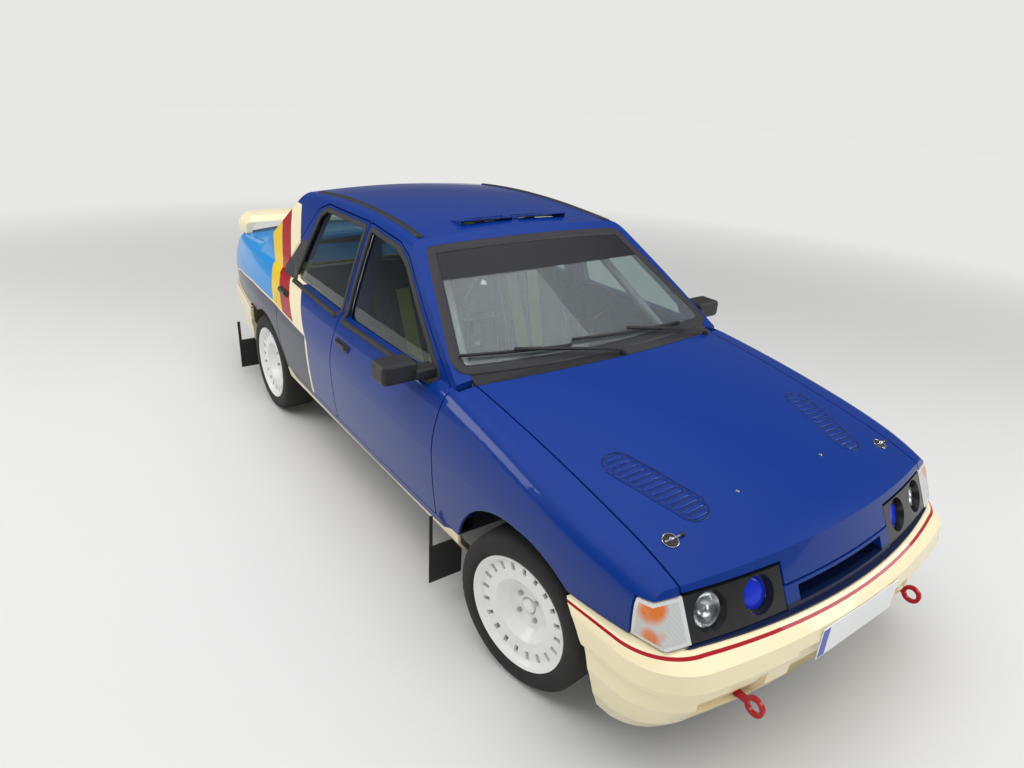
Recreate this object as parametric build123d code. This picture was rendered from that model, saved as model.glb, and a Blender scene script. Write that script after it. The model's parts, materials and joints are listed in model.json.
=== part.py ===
"""Rally car: a four-door saloon of about 1990, prepared for gravel rallies.

Frame: +X forward, +Y to the car's left, +Z up, origin on the ground at mid length. Millimetres.
The body is two skins made of turned arcs, the lower hull and the greenhouse. Panels, doors, glass
and pillars are layers of them, cut along the shut lines.
"""

import os
from math import cos, degrees, radians, sin, sqrt

from build123d import *

# Overall places
FRONT_AXLE_X = 1447.0
WHEELBASE = 2608.0
REAR_AXLE_X = FRONT_AXLE_X - WHEELBASE
TYRE_RADIUS = 300.0
TYRE_WIDTH = 206.0
WHEEL_MID_Y = 712.0
RIM_LIP_RADIUS = 220.0
STEER_AT_REST = 9.7
HUB_Z = TYRE_RADIUS

# Thicknesses and gaps
SHUT_GAP = 7.0
SEAT_GAP = 0.3
DOOR_SKIN = 12.0
DOOR_DEPTH = 90.0
FRAME_DEPTH = 32.0
REBATE_DEPTH = 38.0
SIDE_DEPTH = 60.0
POST_DEPTH = 105.0
WING_SKIN = 12.0
PANEL_SKIN = 18.0
GLASS_OUT = 12.0
GLASS_IN = 17.0

# Side of the lower hull. Columns: outward offset from the widest line, height
SIDE_LOW = (-58.0, 240.0)
SIDE_MID = (-16.0, 470.0)
SIDE_WIDEST = (0.0, 690.0)
SIDE_UPPER = (-13.0, 800.0)
SIDE_TOP = (-96.0, 980.0)
HALF_WIDTH = 849.0
# Plan of the sides: the long arc over the doors, then a tighter arc towards each end
SIDE_CENTRE_X, SIDE_RADIUS = 250.0, 45000.0
FRONT_BEND_X, FRONT_BEND_RADIUS = 1600.0, 1900.0
REAR_BEND_X, REAR_BEND_RADIUS = -1161.0, 5200.0
SHOULDER_RADIUS = 74.0

# Centre line of the bonnet, belt and deck in side view, and the radius of their crown
TOP_LINE = [
    ((2230, 690), (2020, 791), (1800, 855)),
    ((1800, 855), (1400, 928), (960, 985)),
    ((960, 985), (-100, 1000), (-1161, 1000)),
    ((-1161, 1000), (-1700, 979), (-2300, 926)),
]
TOP_CROWN = 6000.0

# Greenhouse: tumblehome at foot, middle and above the rail, and the roof's arc
FOOT, WAIST, RAIL = (780.0, 870.0), (688.0, 1150.0), (563.0, 1450.0)
HOUSE_CENTRE_X, HOUSE_RADIUS = -100.0, 34000.0
ROOF_PEAK_X, ROOF_PEAK_Z, ROOF_ARC, ROOF_CROWN = -330.0, 1420.0, 5700.0, 7000.0
RAIL_RADIUS = 62.0

# Windscreen: the corners of its aperture, front view, and the bow of its surface in plan
SCREEN_LOW = (891.0, 712.0, 981.0)
SCREEN_HIGH = (368.0, 541.0, 1329.0)
SCREEN_BOW = 84.0
BACKLIGHT_LOW = (-1430.0, 671.0, 952.0)
BACKLIGHT_HIGH = (-985.0, 532.0, 1345.0)
BACKLIGHT_BOW = 62.0

# Nose and tail faces: x on the centre line at a height, lean, and bow in plan
NOSE_X, NOSE_Z, NOSE_LEAN, NOSE_SAG, NOSE_SAG_Y = 2175.0, 583.0, 0.48, 58.0, 580.0
TAIL_X, TAIL_Z, TAIL_LEAN, TAIL_SAG, TAIL_SAG_Y = -2215.0, 600.0, 0.14, 48.0, 560.0

# Shut lines
BONNET_HALF = 664.0
BONNET_REAR_SIDE_X, BONNET_REAR_MID_X = 959.0, 1048.0
BONNET_LIP_Z = 735.0
LID_HALF = 640.0
LID_FRONT_X = -1505.0
DOOR_FRONT_X = 923.0
SILL_TOP_Z = 402.0
ARCH_FRONT_R = 370.0
ARCH_REAR_R = 342.0

parts = {}


def arc(p, q, r):
    return Edge.make_three_point_arc(Vector(*p), Vector(*q), Vector(*r))


def line(p, q):
    return Edge.make_line(Vector(*p), Vector(*q))


def side_wedge(centre, radius, angle_from, angle_to, inset):
    """One arc of the side in plan. Angles are degrees from the outward normal, rising forwards."""
    def at(offset, z):
        return (centre[0], centre[1] - radius - offset, z)
    low = (SIDE_LOW[0] - inset, SIDE_LOW[1] + inset)
    mid, widest = (SIDE_MID[0] - inset, SIDE_MID[1]), (SIDE_WIDEST[0] - inset, SIDE_WIDEST[1])
    upper, top = (SIDE_UPPER[0] - inset, SIDE_UPPER[1]), (SIDE_TOP[0] - 0.9 * inset, SIDE_TOP[1])
    inner = -HALF_WIDTH - 60
    face = Face(Wire([
        arc(at(*low), at(*mid), at(*widest)), arc(at(*widest), at(*upper), at(*top)),
        line(at(*top), at(inner, top[1])), line(at(inner, top[1]), at(inner, low[1])),
        line(at(inner, low[1]), at(*low)),
    ]))
    axis = Axis((centre[0], centre[1], 0), (0, 0, 1))
    return revolve(face.rotate(axis, angle_from), axis, angle_to - angle_from)


def side_solid(inset):
    """Right-hand side of the hull, past the centre line."""
    centre = (SIDE_CENTRE_X, SIDE_RADIUS - HALF_WIDTH)
    ends = {}
    for x in (FRONT_BEND_X, REAR_BEND_X):
        ends[x] = degrees((x - SIDE_CENTRE_X) / SIDE_RADIUS)
    solid = side_wedge(centre, SIDE_RADIUS, ends[REAR_BEND_X], ends[FRONT_BEND_X], inset)
    for x, radius, run in ((FRONT_BEND_X, FRONT_BEND_RADIUS, 760), (REAR_BEND_X, REAR_BEND_RADIUS, -1160)):
        turn = radians(ends[x])
        nearer = SIDE_RADIUS - radius
        bend = (centre[0] + nearer * sin(turn), centre[1] - nearer * cos(turn))
        start, stop = ends[x], ends[x] + degrees(run / radius)
        solid += side_wedge(bend, radius, min(start, stop), max(start, stop), inset)
    return solid


def crowned(curve, base_z, crown, top_z, inset):
    """Solid under a side-view curve of arcs, turned about a far axis along X for its crown."""
    def at(x, z):
        return (x, 0, z)
    edges = [arc(*[at(x, z - inset) for x, z in points]) for points in curve]
    first, last = curve[0][0], curve[-1][-1]
    edges += [
        line(at(last[0], last[1] - inset), at(last[0], base_z)), line(at(last[0], base_z), at(first[0], base_z)),
        line(at(first[0], base_z), at(first[0], first[1] - inset)),
    ]
    axis = Axis((0, 0, top_z - crown), (1, 0, 0))
    half_turn = degrees(1000 / crown)
    return revolve(Face(Wire(edges)).rotate(axis, -half_turn), axis, 2 * half_turn)


def top_solid(inset):
    return crowned(TOP_LINE, 100, TOP_CROWN, 985, inset)


def roof_solid(inset):
    ends = [(x, ROOF_PEAK_Z - (x - ROOF_PEAK_X) ** 2 / (2 * ROOF_ARC)) for x in (1100, ROOF_PEAK_X, -1800)]
    return crowned([ends], 800, ROOF_CROWN, ROOF_PEAK_Z, inset)


def house_side(inset):
    def at(y, z):
        return (HOUSE_CENTRE_X, -y, z)
    foot, waist, rail = [(y - 1.05 * inset, z) for y, z in (FOOT, WAIST, RAIL)]
    face = Face(Wire([
        arc(at(*foot), at(*waist), at(*rail)), line(at(*rail), at(-60, rail[1])),
        line(at(-60, rail[1]), at(-60, foot[1])), line(at(-60, foot[1]), at(*foot)),
    ]))
    axis = Axis((HOUSE_CENTRE_X, HOUSE_RADIUS - RAIL[0], 0), (0, 0, 1))
    back, fore = degrees(-1680 / HOUSE_RADIUS), degrees(1150 / HOUSE_RADIUS)
    return revolve(face.rotate(axis, back), axis, fore - back)


def rounded_rim(solid, radius, low_z, out_y):
    """Solid with the long edges of its rim rounded: those that run along the car, high and far out."""
    rim = [
        e for e in solid.edges()
        if e.length > 60 and e.center().Z > low_z and e.center().Y < -out_y
        and abs(e.tangent_at(0.5).X) > 0.8 and e.geom_type != GeomType.LINE
    ]
    return fillet(rim, radius)


def bowed_cut(mid_x, side_x, side_y, z, lean, reach, low_z, high_z):
    """Solid beyond a leaning surface that is bowed in plan. reach is signed, away from the car."""
    shift = lean * (low_z - z)
    half = 1100
    sag = (mid_x - side_x) / side_y**2
    edge_x = mid_x - sag * half**2 + shift
    arc = Edge.make_three_point_arc((edge_x, -half, low_z), (mid_x + shift, 0, low_z), (edge_x, half, low_z))
    far = mid_x + reach
    lines = [
        Edge.make_line((edge_x, half, low_z), (far, half, low_z)),
        Edge.make_line((far, half, low_z), (far, -half, low_z)),
        Edge.make_line((far, -half, low_z), (edge_x, -half, low_z)),
    ]
    face = Face(Wire([arc] + lines))
    rise = high_z - low_z
    way = Vector(lean * rise, 0, rise)
    return extrude(face, amount=way.length, dir=way.normalized())


def screen_cut(low, high, bow, inset, reach):
    """Cut along the windscreen or the rear window, whose corners are low and high."""
    sign = 1 if low[0] > 0 else -1
    mid_low = low[0] + sign * bow
    side_at_top = mid_low - sign * bow * (high[1] / low[1]) ** 2
    lean = (high[0] - side_at_top) / (high[2] - low[2])
    shift = inset * sqrt(1 + lean**2)
    return bowed_cut(
        mid_low - sign * shift, low[0] - sign * shift, low[1], low[2], lean, reach, 820, 1480
    )


def nose_cut(inset):
    shift = inset * sqrt(1 + NOSE_LEAN**2)
    return bowed_cut(
        NOSE_X - shift, NOSE_X - NOSE_SAG - shift, NOSE_SAG_Y, NOSE_Z, -NOSE_LEAN, 400, 150, 900
    )


def tail_cut(inset):
    return bowed_cut(
        TAIL_X + inset, TAIL_X + TAIL_SAG + inset, TAIL_SAG_Y, TAIL_Z, TAIL_LEAN, -400, 150, 1050
    )


layers = {}


def largest(shape):
    return max(shape.solids(), key=lambda solid: solid.volume)


def hull(inset):
    """Right half of the lower hull, with its skin set in by inset."""
    if ("hull", inset) not in layers:
        solid = side_solid(inset) & top_solid(inset)
        if inset < SHOULDER_RADIUS - 10:
            solid = rounded_rim(solid, SHOULDER_RADIUS - inset, 560, 500)
        solid = solid - nose_cut(inset) - tail_cut(inset) - block(-2500, 2500, 0, 1200, 0, 1500)
        layers["hull", inset] = largest(solid)
    return layers["hull", inset]


def greenhouse(inset):
    if ("roof", inset) not in layers:
        solid = house_side(inset) & roof_solid(inset)
        if inset < RAIL_RADIUS - 10:
            solid = rounded_rim(solid, RAIL_RADIUS - inset, 1000, 400)
        solid -= screen_cut(SCREEN_LOW, SCREEN_HIGH, SCREEN_BOW, inset, 400)
        solid -= screen_cut(BACKLIGHT_LOW, BACKLIGHT_HIGH, BACKLIGHT_BOW, inset, -500)
        layers["roof", inset] = largest(solid - block(-2500, 2500, 0, 1200, 0, 1500))
    return layers["roof", inset]


def body(inset):
    if ("body", inset) not in layers:
        layers["body", inset] = hull(inset) + greenhouse(inset)
    return layers["body", inset]


def block(x0, x1, y0, y1, z0, z1):
    return Pos((x0 + x1) / 2, (y0 + y1) / 2, (z0 + z1) / 2) * Box(abs(x1 - x0), abs(y1 - y0), abs(z1 - z0))


def rounded(points, plane_point, radii=None):
    """Flat face through points, given as 3-D by plane_point, with its corners rounded."""
    face = Face(Wire.make_polygon([plane_point(*p) for p in points], close=True))
    for point, radius in zip(points, radii or []):
        if radius:
            corner = Vector(*plane_point(*point))
            vertex = min(face.vertices(), key=lambda v: (Vector(*v) - corner).length)
            face = face.fillet_2d(radius, [vertex])
    return face


def side_prism(points, y0, y1, radii=None):
    """Prism across the car from an outline in side view, points (x, z)."""
    face = rounded(points, lambda x, z: (x, y0, z), radii)
    return extrude(face, amount=abs(y1 - y0), dir=(0, 1 if y1 > y0 else -1, 0))


def front_prism(points, x0, x1, radii=None):
    face = rounded(points, lambda y, z: (x0, y, z), radii)
    return extrude(face, amount=abs(x1 - x0), dir=(1 if x1 > x0 else -1, 0, 0))


def top_prism(points, z0, z1, radii=None):
    face = rounded(points, lambda x, y: (x, y, z0), radii)
    return extrude(face, amount=abs(z1 - z0), dir=(0, 0, 1 if z1 > z0 else -1))


def across(radius, x, z, y0, y1):
    """Round bar across the car."""
    return Pos(x, (y0 + y1) / 2, z) * Rot(90, 0, 0) * Cylinder(radius, abs(y1 - y0))


def rod(p, q, radius):
    """Round bar from p to q."""
    p, q = Vector(*p), Vector(*q)
    plane = Plane(origin=p, z_dir=(q - p).normalized())
    return extrude(plane * Circle(radius), amount=(q - p).length)


def tube_run(points, radius):
    """Bars through points, with a ball at each inner corner."""
    run = rod(points[0], points[1], radius)
    for p, q in zip(points[1:], points[2:]):
        run = run + Pos(*p) * Sphere(radius) + rod(p, q, radius)
    return run


def flip(shape):
    return mirror(shape, about=Plane.XZ)


def both(shape):
    return Compound(children=[*solids_of(shape), *solids_of(flip(shape))])


def solids_of(shape):
    return list(shape.solids()) if not isinstance(shape, list) else [s for item in shape for s in item.solids()]


# Outlines in side view. Each point is (x, z, corner radius)
FRONT_DOOR = [
    (DOOR_FRONT_X, SILL_TOP_Z, 20), (DOOR_FRONT_X, 922, 12), (869, 948, 10), (340, 1300, 70), (236, 1336, 60),
    (-77, 1360, 12), (-60, 905, 300), (-57, SILL_TOP_Z, 20),
]
REAR_DOOR = [
    (-64, SILL_TOP_Z, 20), (-67, 905, 300), (-84, 1360, 12), (-590, 1357, 60), (-694, 1316, 60), (-945, 934, 20),
    (-890, 850, 60), (-886, 560, 60), (-812, SILL_TOP_Z, 20),
]
FRONT_GLASS = [(806, 938, 10), (346, 1262, 60), (240, 1304, 50), (-42, 1328, 14), (-26, 932, 14)]
REAR_GLASS = [(-104, 934, 14), (-120, 1328, 14), (-584, 1324, 40), (-640, 1290, 40), (-736, 946, 30)]
FRONT_OPENING = [
    (842, 428, 20), (842, 900, 20), (800, 948, 20), (346, 1268, 50), (240, 1310, 50), (-38, 1334, 10),
    (-22, 905, 100), (-12, 428, 20),
]
REAR_OPENING = [
    (-122, 428, 20), (-116, 905, 100), (-124, 1334, 10), (-584, 1330, 40), (-644, 1296, 40), (-745, 950, 20),
    (-800, 900, 20), (-800, 600, 60), (-748, 428, 20),
]


def plain(outline):
    return [(x, z) for x, z, _ in outline]


def radii(outline):
    return [r for _, _, r in outline]


def layer(depth, sheet):
    """Sheet that follows the bonnet, belt and deck at a depth below them."""
    return top_solid(depth) - top_solid(depth + sheet)


def door_prism(outline, by=0.0):
    """Prism across the right-hand side from an outline, moved outwards by a distance."""
    face = rounded(plain(outline), lambda x, z: (x, -400, z), radii(outline))
    if by:
        face = offset(face, amount=by, kind=Kind.ARC).face()
    return extrude(face, amount=600, dir=(0, -1, 0))


def wheel_arch(x, radius, inner_y=560.0):
    return across(radius, x, HUB_Z, -inner_y, -1000)


arches = (
    wheel_arch(FRONT_AXLE_X, ARCH_FRONT_R, 430) + wheel_arch(FRONT_AXLE_X + 50, ARCH_FRONT_R, 430)
    + wheel_arch(REAR_AXLE_X, ARCH_REAR_R)
)


def shell(outer, inner, region):
    """The layer of the right-hand body between two insets, inside a region."""
    return (body(outer) & region) - body(inner)


def doors():
    """Right-hand doors: thin outer skin, deep lower body and a window frame."""
    table = (
        ("door_front_right", FRONT_DOOR, FRONT_GLASS, [(834, 440), (834, 905), (-16, 905), (-4, 440)]),
        ("door_rear_right", REAR_DOOR, REAR_GLASS,
         [(-128, 440), (-124, 905), (-790, 905), (-790, 620), (-740, 440)]),
    )
    for name, outline, glass, inner in table:
        door = shell(0, DOOR_SKIN, door_prism(outline))
        door += shell(DOOR_SKIN, FRAME_DEPTH, door_prism(outline, -12))
        door += shell(DOOR_SKIN, DOOR_DEPTH, side_prism(inner, -676, -1000))
        parts[name] = door - door_prism(glass)
        pane = (greenhouse(GLASS_OUT) & door_prism(glass, -SEAT_GAP)) - greenhouse(GLASS_IN)
        parts[name.replace("door", "window")] = pane


def screen_face(x, low, high, by=0.0):
    """Aperture of a screen in front view, its upper edge crowned."""
    (y0, z0), (y1, z1) = (low[1] + by, low[2] - by), (high[1] + by, high[2] + by)
    face = Face(Wire([
        line((x, -y0, z0), (x, y0, z0)), line((x, y0, z0), (x, y1, z1)),
        arc((x, y1, z1), (x, 0, z1 + SCREEN_CROWN), (x, -y1, z1)), line((x, -y1, z1), (x, -y0, z0)),
    ]))
    return face.fillet_2d(SCREEN_CORNER + by, face.vertices())


def screen_prism(low, high, by=0.0):
    sign = 1 if low[0] > 0 else -1
    x0 = high[0] - sign * 160
    return extrude(screen_face(x0, low, high, by), amount=abs(low[0] - high[0]) + 420, dir=(sign, 0, 0))


def screen(low, high, bow, reach):
    pane = screen_cut(low, high, bow, SCREEN_IN, reach) - screen_cut(low, high, bow, SCREEN_OUT, reach)
    return largest(pane & screen_prism(low, high, -SEAT_GAP))


def side_frame():
    """Right-hand side: sill, posts, pillars, cant rail and rear quarter in one pressing."""
    side = shell(0, SIDE_DEPTH, block(DOOR_FRONT_X + SHUT_GAP, TAIL_SEAM_X, -ROOF_SEAM_Y, -1000, 200, 1500))
    side -= door_prism(FRONT_DOOR, SHUT_GAP) - body(REBATE_DEPTH)
    side -= door_prism(REAR_DOOR, SHUT_GAP) - body(REBATE_DEPTH)
    for x0, x1 in ((DOOR_FRONT_X + 20, 838), (-60, -150)):
        side -= block(x0, x1, -600, -1000, SILL_TOP_Z, 930) - body(SIDE_DEPTH - 1)
    side = side - door_prism(FRONT_OPENING) - door_prism(REAR_OPENING)
    post_depth = SIDE_DEPTH - 2
    side += shell(post_depth, POST_DEPTH, block(DOOR_FRONT_X + SHUT_GAP, 850, -POST_INNER_Y, -1000, 330, 935))
    for outline, inner_y in (([(-108, 330), (-106, 905), (-30, 905), (-22, 330)], -690),
                             ([(-106, 905), (-104, 1310), (-56, 1310), (-30, 905)], -560)):
        side += shell(post_depth, POST_DEPTH, side_prism(outline, inner_y, -1000))
    side -= screen_prism(SCREEN_LOW, SCREEN_HIGH) + screen_prism(BACKLIGHT_LOW, BACKLIGHT_HIGH)
    side -= block(700, 1100, -COWL_SEAT_Y, 0, 850, 1010)
    side -= block(LID_FRONT_X - 800, BACKLIGHT_LOW[0] + 190, -(LID_HALF + SHUT_GAP), 0, 600, 956)
    side -= block(1000, -2200, -FLOOR_HALF - SEAT_GAP, 0, 200, 330)
    side += layer(PANEL_SKIN + SEAT_GAP, 8) & block(-1560, -2075, -612, -665, 800, 1000)
    side -= block(REAR_AXLE_X, -2300, -500, -1000, 200, BUMPER_TOP_Z + 4)
    side -= skirt_zone() - (body(SKIRT_SKIN) - sill_tuck(SKIRT_SKIN + 2))
    return largest(side - arches)


def skirt_zone():
    return block(1130, -830, -600, -1000, 200, SILL_TOP_Z - 4)


def sill_tuck(by):
    """What lies outside the sill's lower face, which slopes in under the car."""
    return front_prism([(-706 + by, 200), (-1000 + by, 636), (-1100, 636), (-1100, 200)], 1200, -900)


def skirt():
    """Sill strip below the doors, between the arches."""
    outside = (body(0) & skirt_zone() & block(1130, -830, -700, -1000, SKIRT_LOW_Z, 500)) - sill_tuck(0)
    inside = body(SKIRT_SKIN - SEAT_GAP) - sill_tuck(SKIRT_SKIN + 2 - SEAT_GAP)
    return largest(outside - inside - arches)


def front_wing():
    wing = shell(0, WING_SKIN, block(DOOR_FRONT_X + SHUT_GAP, 2200, -(BONNET_HALF + SHUT_GAP), -1000, 402, 1000))
    wing -= greenhouse(-1)
    wing -= block(1957, 2300, 0, -1000, 300, LAMP_TOP_Z + 6)
    wing -= block(FRONT_AXLE_X, 2300, 0, -1000, 300, BUMPER_TOP_Z + 4)
    wing = wing - arches + (layer(WING_SKIN - 1, 16) & block(1060, 1900, -684, -671, 700, 1000))
    wing += layer(PANEL_SKIN + SEAT_GAP, 8) & block(1060, 1900, -640, -684, 700, 1000)
    return largest(wing)


def capped(depth):
    """Bonnet, nose and deck surfaces as one layer across the whole car."""
    outer = top_solid(0) - nose_cut(0) - tail_cut(0)
    return outer - (top_solid(depth) - nose_cut(depth) - tail_cut(depth))


def bonnet():
    face = Face(Wire([
        arc((BONNET_REAR_SIDE_X, -BONNET_HALF, 600), (BONNET_REAR_MID_X, 0, 600), (BONNET_REAR_SIDE_X, BONNET_HALF, 600)),
        line((BONNET_REAR_SIDE_X, BONNET_HALF, 600), (2300, BONNET_HALF, 600)),
        line((2300, BONNET_HALF, 600), (2300, -BONNET_HALF, 600)),
        line((2300, -BONNET_HALF, 600), (BONNET_REAR_SIDE_X, -BONNET_HALF, 600)),
    ]))
    reach = extrude(face, amount=600, dir=(0, 0, 1)) & block(900, 2300, -700, 700, BONNET_LIP_Z, 1100)
    half = LAMP_INNER_Y - SHUT_GAP
    reach += block(1950, 2300, -half, half, NOSE_SPLIT_Z + SHUT_GAP, BONNET_LIP_Z + 10)
    return largest(capped(PANEL_SKIN) & reach)


def cowl():
    """Scuttle between the bonnet and the windscreen."""
    rear, mid = BONNET_REAR_SIDE_X - SHUT_GAP, BONNET_REAR_MID_X - SHUT_GAP
    half = COWL_SEAT_Y - SEAT_GAP
    face = Face(Wire([
        arc((rear, -half, 600), (mid, 0, 600), (rear, half, 600)), line((rear, half, 600), (800, half, 600)),
        line((800, half, 600), (800, -half, 600)), line((800, -half, 600), (rear, -half, 600)),
    ]))
    plate = layer(3, WING_SKIN) & extrude(face, amount=600, dir=(0, 0, 1))
    plate = plate & screen_cut(SCREEN_LOW, SCREEN_HIGH, SCREEN_BOW, SCREEN_OUT + 1, 400)
    riser = screen_cut(SCREEN_LOW, SCREEN_HIGH, SCREEN_BOW, 14, 400)
    riser -= screen_cut(SCREEN_LOW, SCREEN_HIGH, SCREEN_BOW, SCREEN_OUT, 400)
    riser = riser & block(700, 1100, -half, half, 900, SCREEN_LOW[2] - SEAT_GAP)
    riser = riser & extrude(face, amount=600, dir=(0, 0, 1))
    return largest(plate + (riser - top_solid(3 + WING_SKIN)))


def nose():
    """Painted centre of the nose, with its slot, between the lamp units."""
    face = capped(PANEL_SKIN) & block(1900, 2300, -LAMP_INNER_Y + 2, LAMP_INNER_Y - 2, BUMPER_TOP_Z + 2, NOSE_SPLIT_Z)
    slot = block(1900, 2300, -238, 238, 606, 652)
    pocket = block(2070, 2200, -246, 246, 598, 659) & (hull(3) + flip(hull(3)))
    pocket -= block(2078, 2300, -238, 238, 606, 652)
    apron = extrude(bumper_level([BUMPER_TOP_Z + SEAT_GAP, *FRONT_BUMPER[-1][1:]], 1900, 8), amount=6, dir=(0, 0, 1))
    apron = apron & (block(RAIL_END_X + 2, 2300, -700, 700, 580, 600)
                     + block(1968, 2300, -900, -680, 580, 600) + block(1968, 2300, 680, 900, 580, 600))
    for s in (-1, 1):
        outer_end = block(1900, 2300, s * (LAMP_OUTER_Y + 4), s * 1000, 580, 600)
        apron -= outer_end & (hull(0) if s < 0 else flip(hull(0)))
    beam = block(RAIL_END_X + SEAT_GAP, 2110, -690, 690, 560, LAMP_LOW_Z - SEAT_GAP)
    for s in (-1, 1):
        beam += block(RAIL_END_X + SEAT_GAP, BUMPER_SEAT_X, s * 372, s * 428, 430, 580)
    beam = beam & (hull(20) + flip(hull(20)))
    return largest((face - slot) + pocket + beam + apron)


def lamp_plane(y, depth):
    """Plane at a depth behind a right-hand lamp's mouth, facing out along the nose's normal."""
    x = NOSE_X - NOSE_LEAN * (LAMP_MID_Z - NOSE_Z) - NOSE_SAG * (y / NOSE_SAG_Y) ** 2
    facing = Vector(1, -2 * NOSE_SAG * y / NOSE_SAG_Y ** 2, NOSE_LEAN).normalized()
    return Plane(origin=Vector(x, -y, LAMP_MID_Z) - facing * depth, z_dir=facing)


def lamp_unit():
    """Right-hand headlamp housing with two round bowls."""
    unit = (hull(2) & block(1900, 2300, -LAMP_OUTER_Y, -LAMP_INNER_Y, LAMP_LOW_Z, LAMP_TOP_Z)) - hull(90)
    for y in LAMP_BOWLS:
        unit -= lamp_plane(y, LAMP_DEPTH + 75) * Cylinder(LENS_RADIUS, 150)
        unit -= lamp_plane(y, LAMP_DEPTH - 30) * Cone(LENS_RADIUS, LENS_RADIUS + 18, 60)
    return largest(unit)


def lamp_lenses():
    return [lamp_plane(y, LAMP_DEPTH + 7) * Cylinder(LENS_RADIUS - SEAT_GAP, 14) for y in LAMP_BOWLS]


def corner_lamp():
    zone = block(1964, 2300, -LAMP_OUTER_Y - SEAT_GAP, -1000, LAMP_LOW_Z, LAMP_TOP_Z)
    return largest((hull(1) & zone) - hull(70))


def tail_lamp():
    zone = block(TAIL_SEAM_X - 6, -2300, -473 - SEAT_GAP, -1000, 645 + SEAT_GAP, 841 - SEAT_GAP)
    return largest((hull(1) & zone) - hull(45))


def rear_panel():
    panel = (hull(0) & block(TAIL_SEAM_X - SEAT_GAP, -2300, 0, -1000, BUMPER_TOP_Z + 4, 861)) - hull(PANEL_SKIN)
    panel -= block(-1900, -2300, -462, 1, 605, 900)
    panel -= block(-1900, -2300, -473, -1000, 645, 841)
    panel += block(-2165, -2185, 1, -560, BUMPER_TOP_Z - 60, BUMPER_TOP_Z + 10) & hull(22)
    return largest(panel)


def boot_lid():
    lid = block(LID_FRONT_X, -2300, -LID_HALF, LID_HALF, 868, 1100) + block(-2100, -2300, -455, 455, 612, 900)
    return largest(capped(PANEL_SKIN) & lid)


def rear_shelf():
    """Deck strip below the rear window, with the parcel shelf inside."""
    half = LID_HALF + SHUT_GAP - SEAT_GAP
    strip = layer(0, WING_SKIN) & block(LID_FRONT_X + SHUT_GAP, -1380, -half, half, 850, 1100)
    strip = strip & screen_cut(BACKLIGHT_LOW, BACKLIGHT_HIGH, BACKLIGHT_BOW, SCREEN_OUT - 4, -400)
    shelf = block(LID_FRONT_X + SHUT_GAP, -1080, -610, 610, 905, 920)
    lip = block(LID_FRONT_X + SHUT_GAP, LID_FRONT_X + 19, -610, 610, 905, 946)
    return largest(strip + shelf + lip)


def roof():
    outer = roof_solid(0)
    inner = roof_solid(PANEL_SKIN)
    for low, high, bow, reach in (
        (SCREEN_LOW, SCREEN_HIGH, SCREEN_BOW, 400), (BACKLIGHT_LOW, BACKLIGHT_HIGH, BACKLIGHT_BOW, -500)
    ):
        outer -= screen_cut(low, high, bow, 0, reach)
        inner -= screen_cut(low, high, bow, PANEL_SKIN, reach)
    panel = (outer - inner) & block(700, -1300, -ROOF_SEAM_Y, ROOF_SEAM_Y, 1290, 1500)
    panel -= screen_prism(SCREEN_LOW, SCREEN_HIGH) + screen_prism(BACKLIGHT_LOW, BACKLIGHT_HIGH)
    vent = side_prism([(70, 1380), (238, 1411), (238, 1405), (120, 1372)], -VENT_HALF, VENT_HALF)
    cheeks = side_prism([(70, 1380), (238, 1411), (238, 1372), (120, 1372)], -VENT_HALF, VENT_HALF)
    for y0, y1 in ((-VENT_HALF + 6, -19), (19, VENT_HALF - 6)):
        cheeks -= block(60, 260, y0, y1, 1300, 1450)
    panel -= block(150, 225, -VENT_HALF + 6, -19, 1300, 1450) + block(150, 225, 19, VENT_HALF - 6, 1300, 1450)
    return largest(panel + vent + cheeks)


# Bumper outlines in plan: height, nose x, corner start x y, corner end x y, rear end y
FRONT_BUMPER = [
    (215, 2112, 2045, 600, 1915, 762, 790),
    (300, 2172, 2105, 630, 1940, 800, 818),
    (400, 2225, 2158, 645, 1955, 820, 840),
    (462, 2231, 2164, 646, 1954, 817, 838),
    (474, 2243, 2176, 649, 1959, 826, 848),
    (490, 2247, 2180, 650, 1960, 828, 850),
    (550, 2238, 2168, 649, 1957, 826, 848),
    (575, 2214, 2132, 646, 1948, 818, 845),
    (588, 2198, 2114, 642, 1938, 806, 838),
]
REAR_BUMPER = [
    (262, -2130, -2090, 560, -1940, 700, 780),
    (350, -2205, -2165, 575, -1990, 735, 812),
    (440, -2225, -2184, 579, -1999, 736, 813),
    (452, -2238, -2196, 583, -2006, 745, 823),
    (480, -2247, -2205, 585, -2010, 748, 826),
    (560, -2242, -2200, 585, -2008, 748, 828),
    (588, -2222, -2182, 580, -2000, 740, 822),
]


# Recesses of the front bumper: from y, to y, from height, to height
BUMPER_RECESSES = [(-668, -415, 345, 450), (415, 668, 345, 450), (-318, 318, 300, 503)]
# Seat of the number plate: half width, low, high
PLATE_SEAT = (228, 420, 550)


def bumper_level(row, back_x, thinner):
    z, nose_x, x1, y1, x2, y2, y3 = row
    sign = 1 if nose_x > 0 else -1
    nose_x, x1, y2, y3 = nose_x - sign * thinner, x1 - sign * thinner, y2 - thinner, y3 - thinner
    y1 -= 0.5 * thinner
    x2 -= 0.5 * sign * thinner
    mid = ((x1 + x2) / 2 + sign * 0.2 * abs(x1 - x2), (y1 + y2) / 2 + 0.14 * (y2 - y1))
    edges = [arc((x1, -y1, z), (nose_x, 0, z), (x1, y1, z)), line((back_x, y3, z), (back_x, -y3, z))]
    for s in (-1, 1):
        edges.append(arc((x1, s * y1, z), (mid[0], s * mid[1], z), (x2, s * y2, z)))
        edges.append(line((x2, s * y2, z), (back_x, s * y3, z)))
    return Face(Wire(edges))


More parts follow.
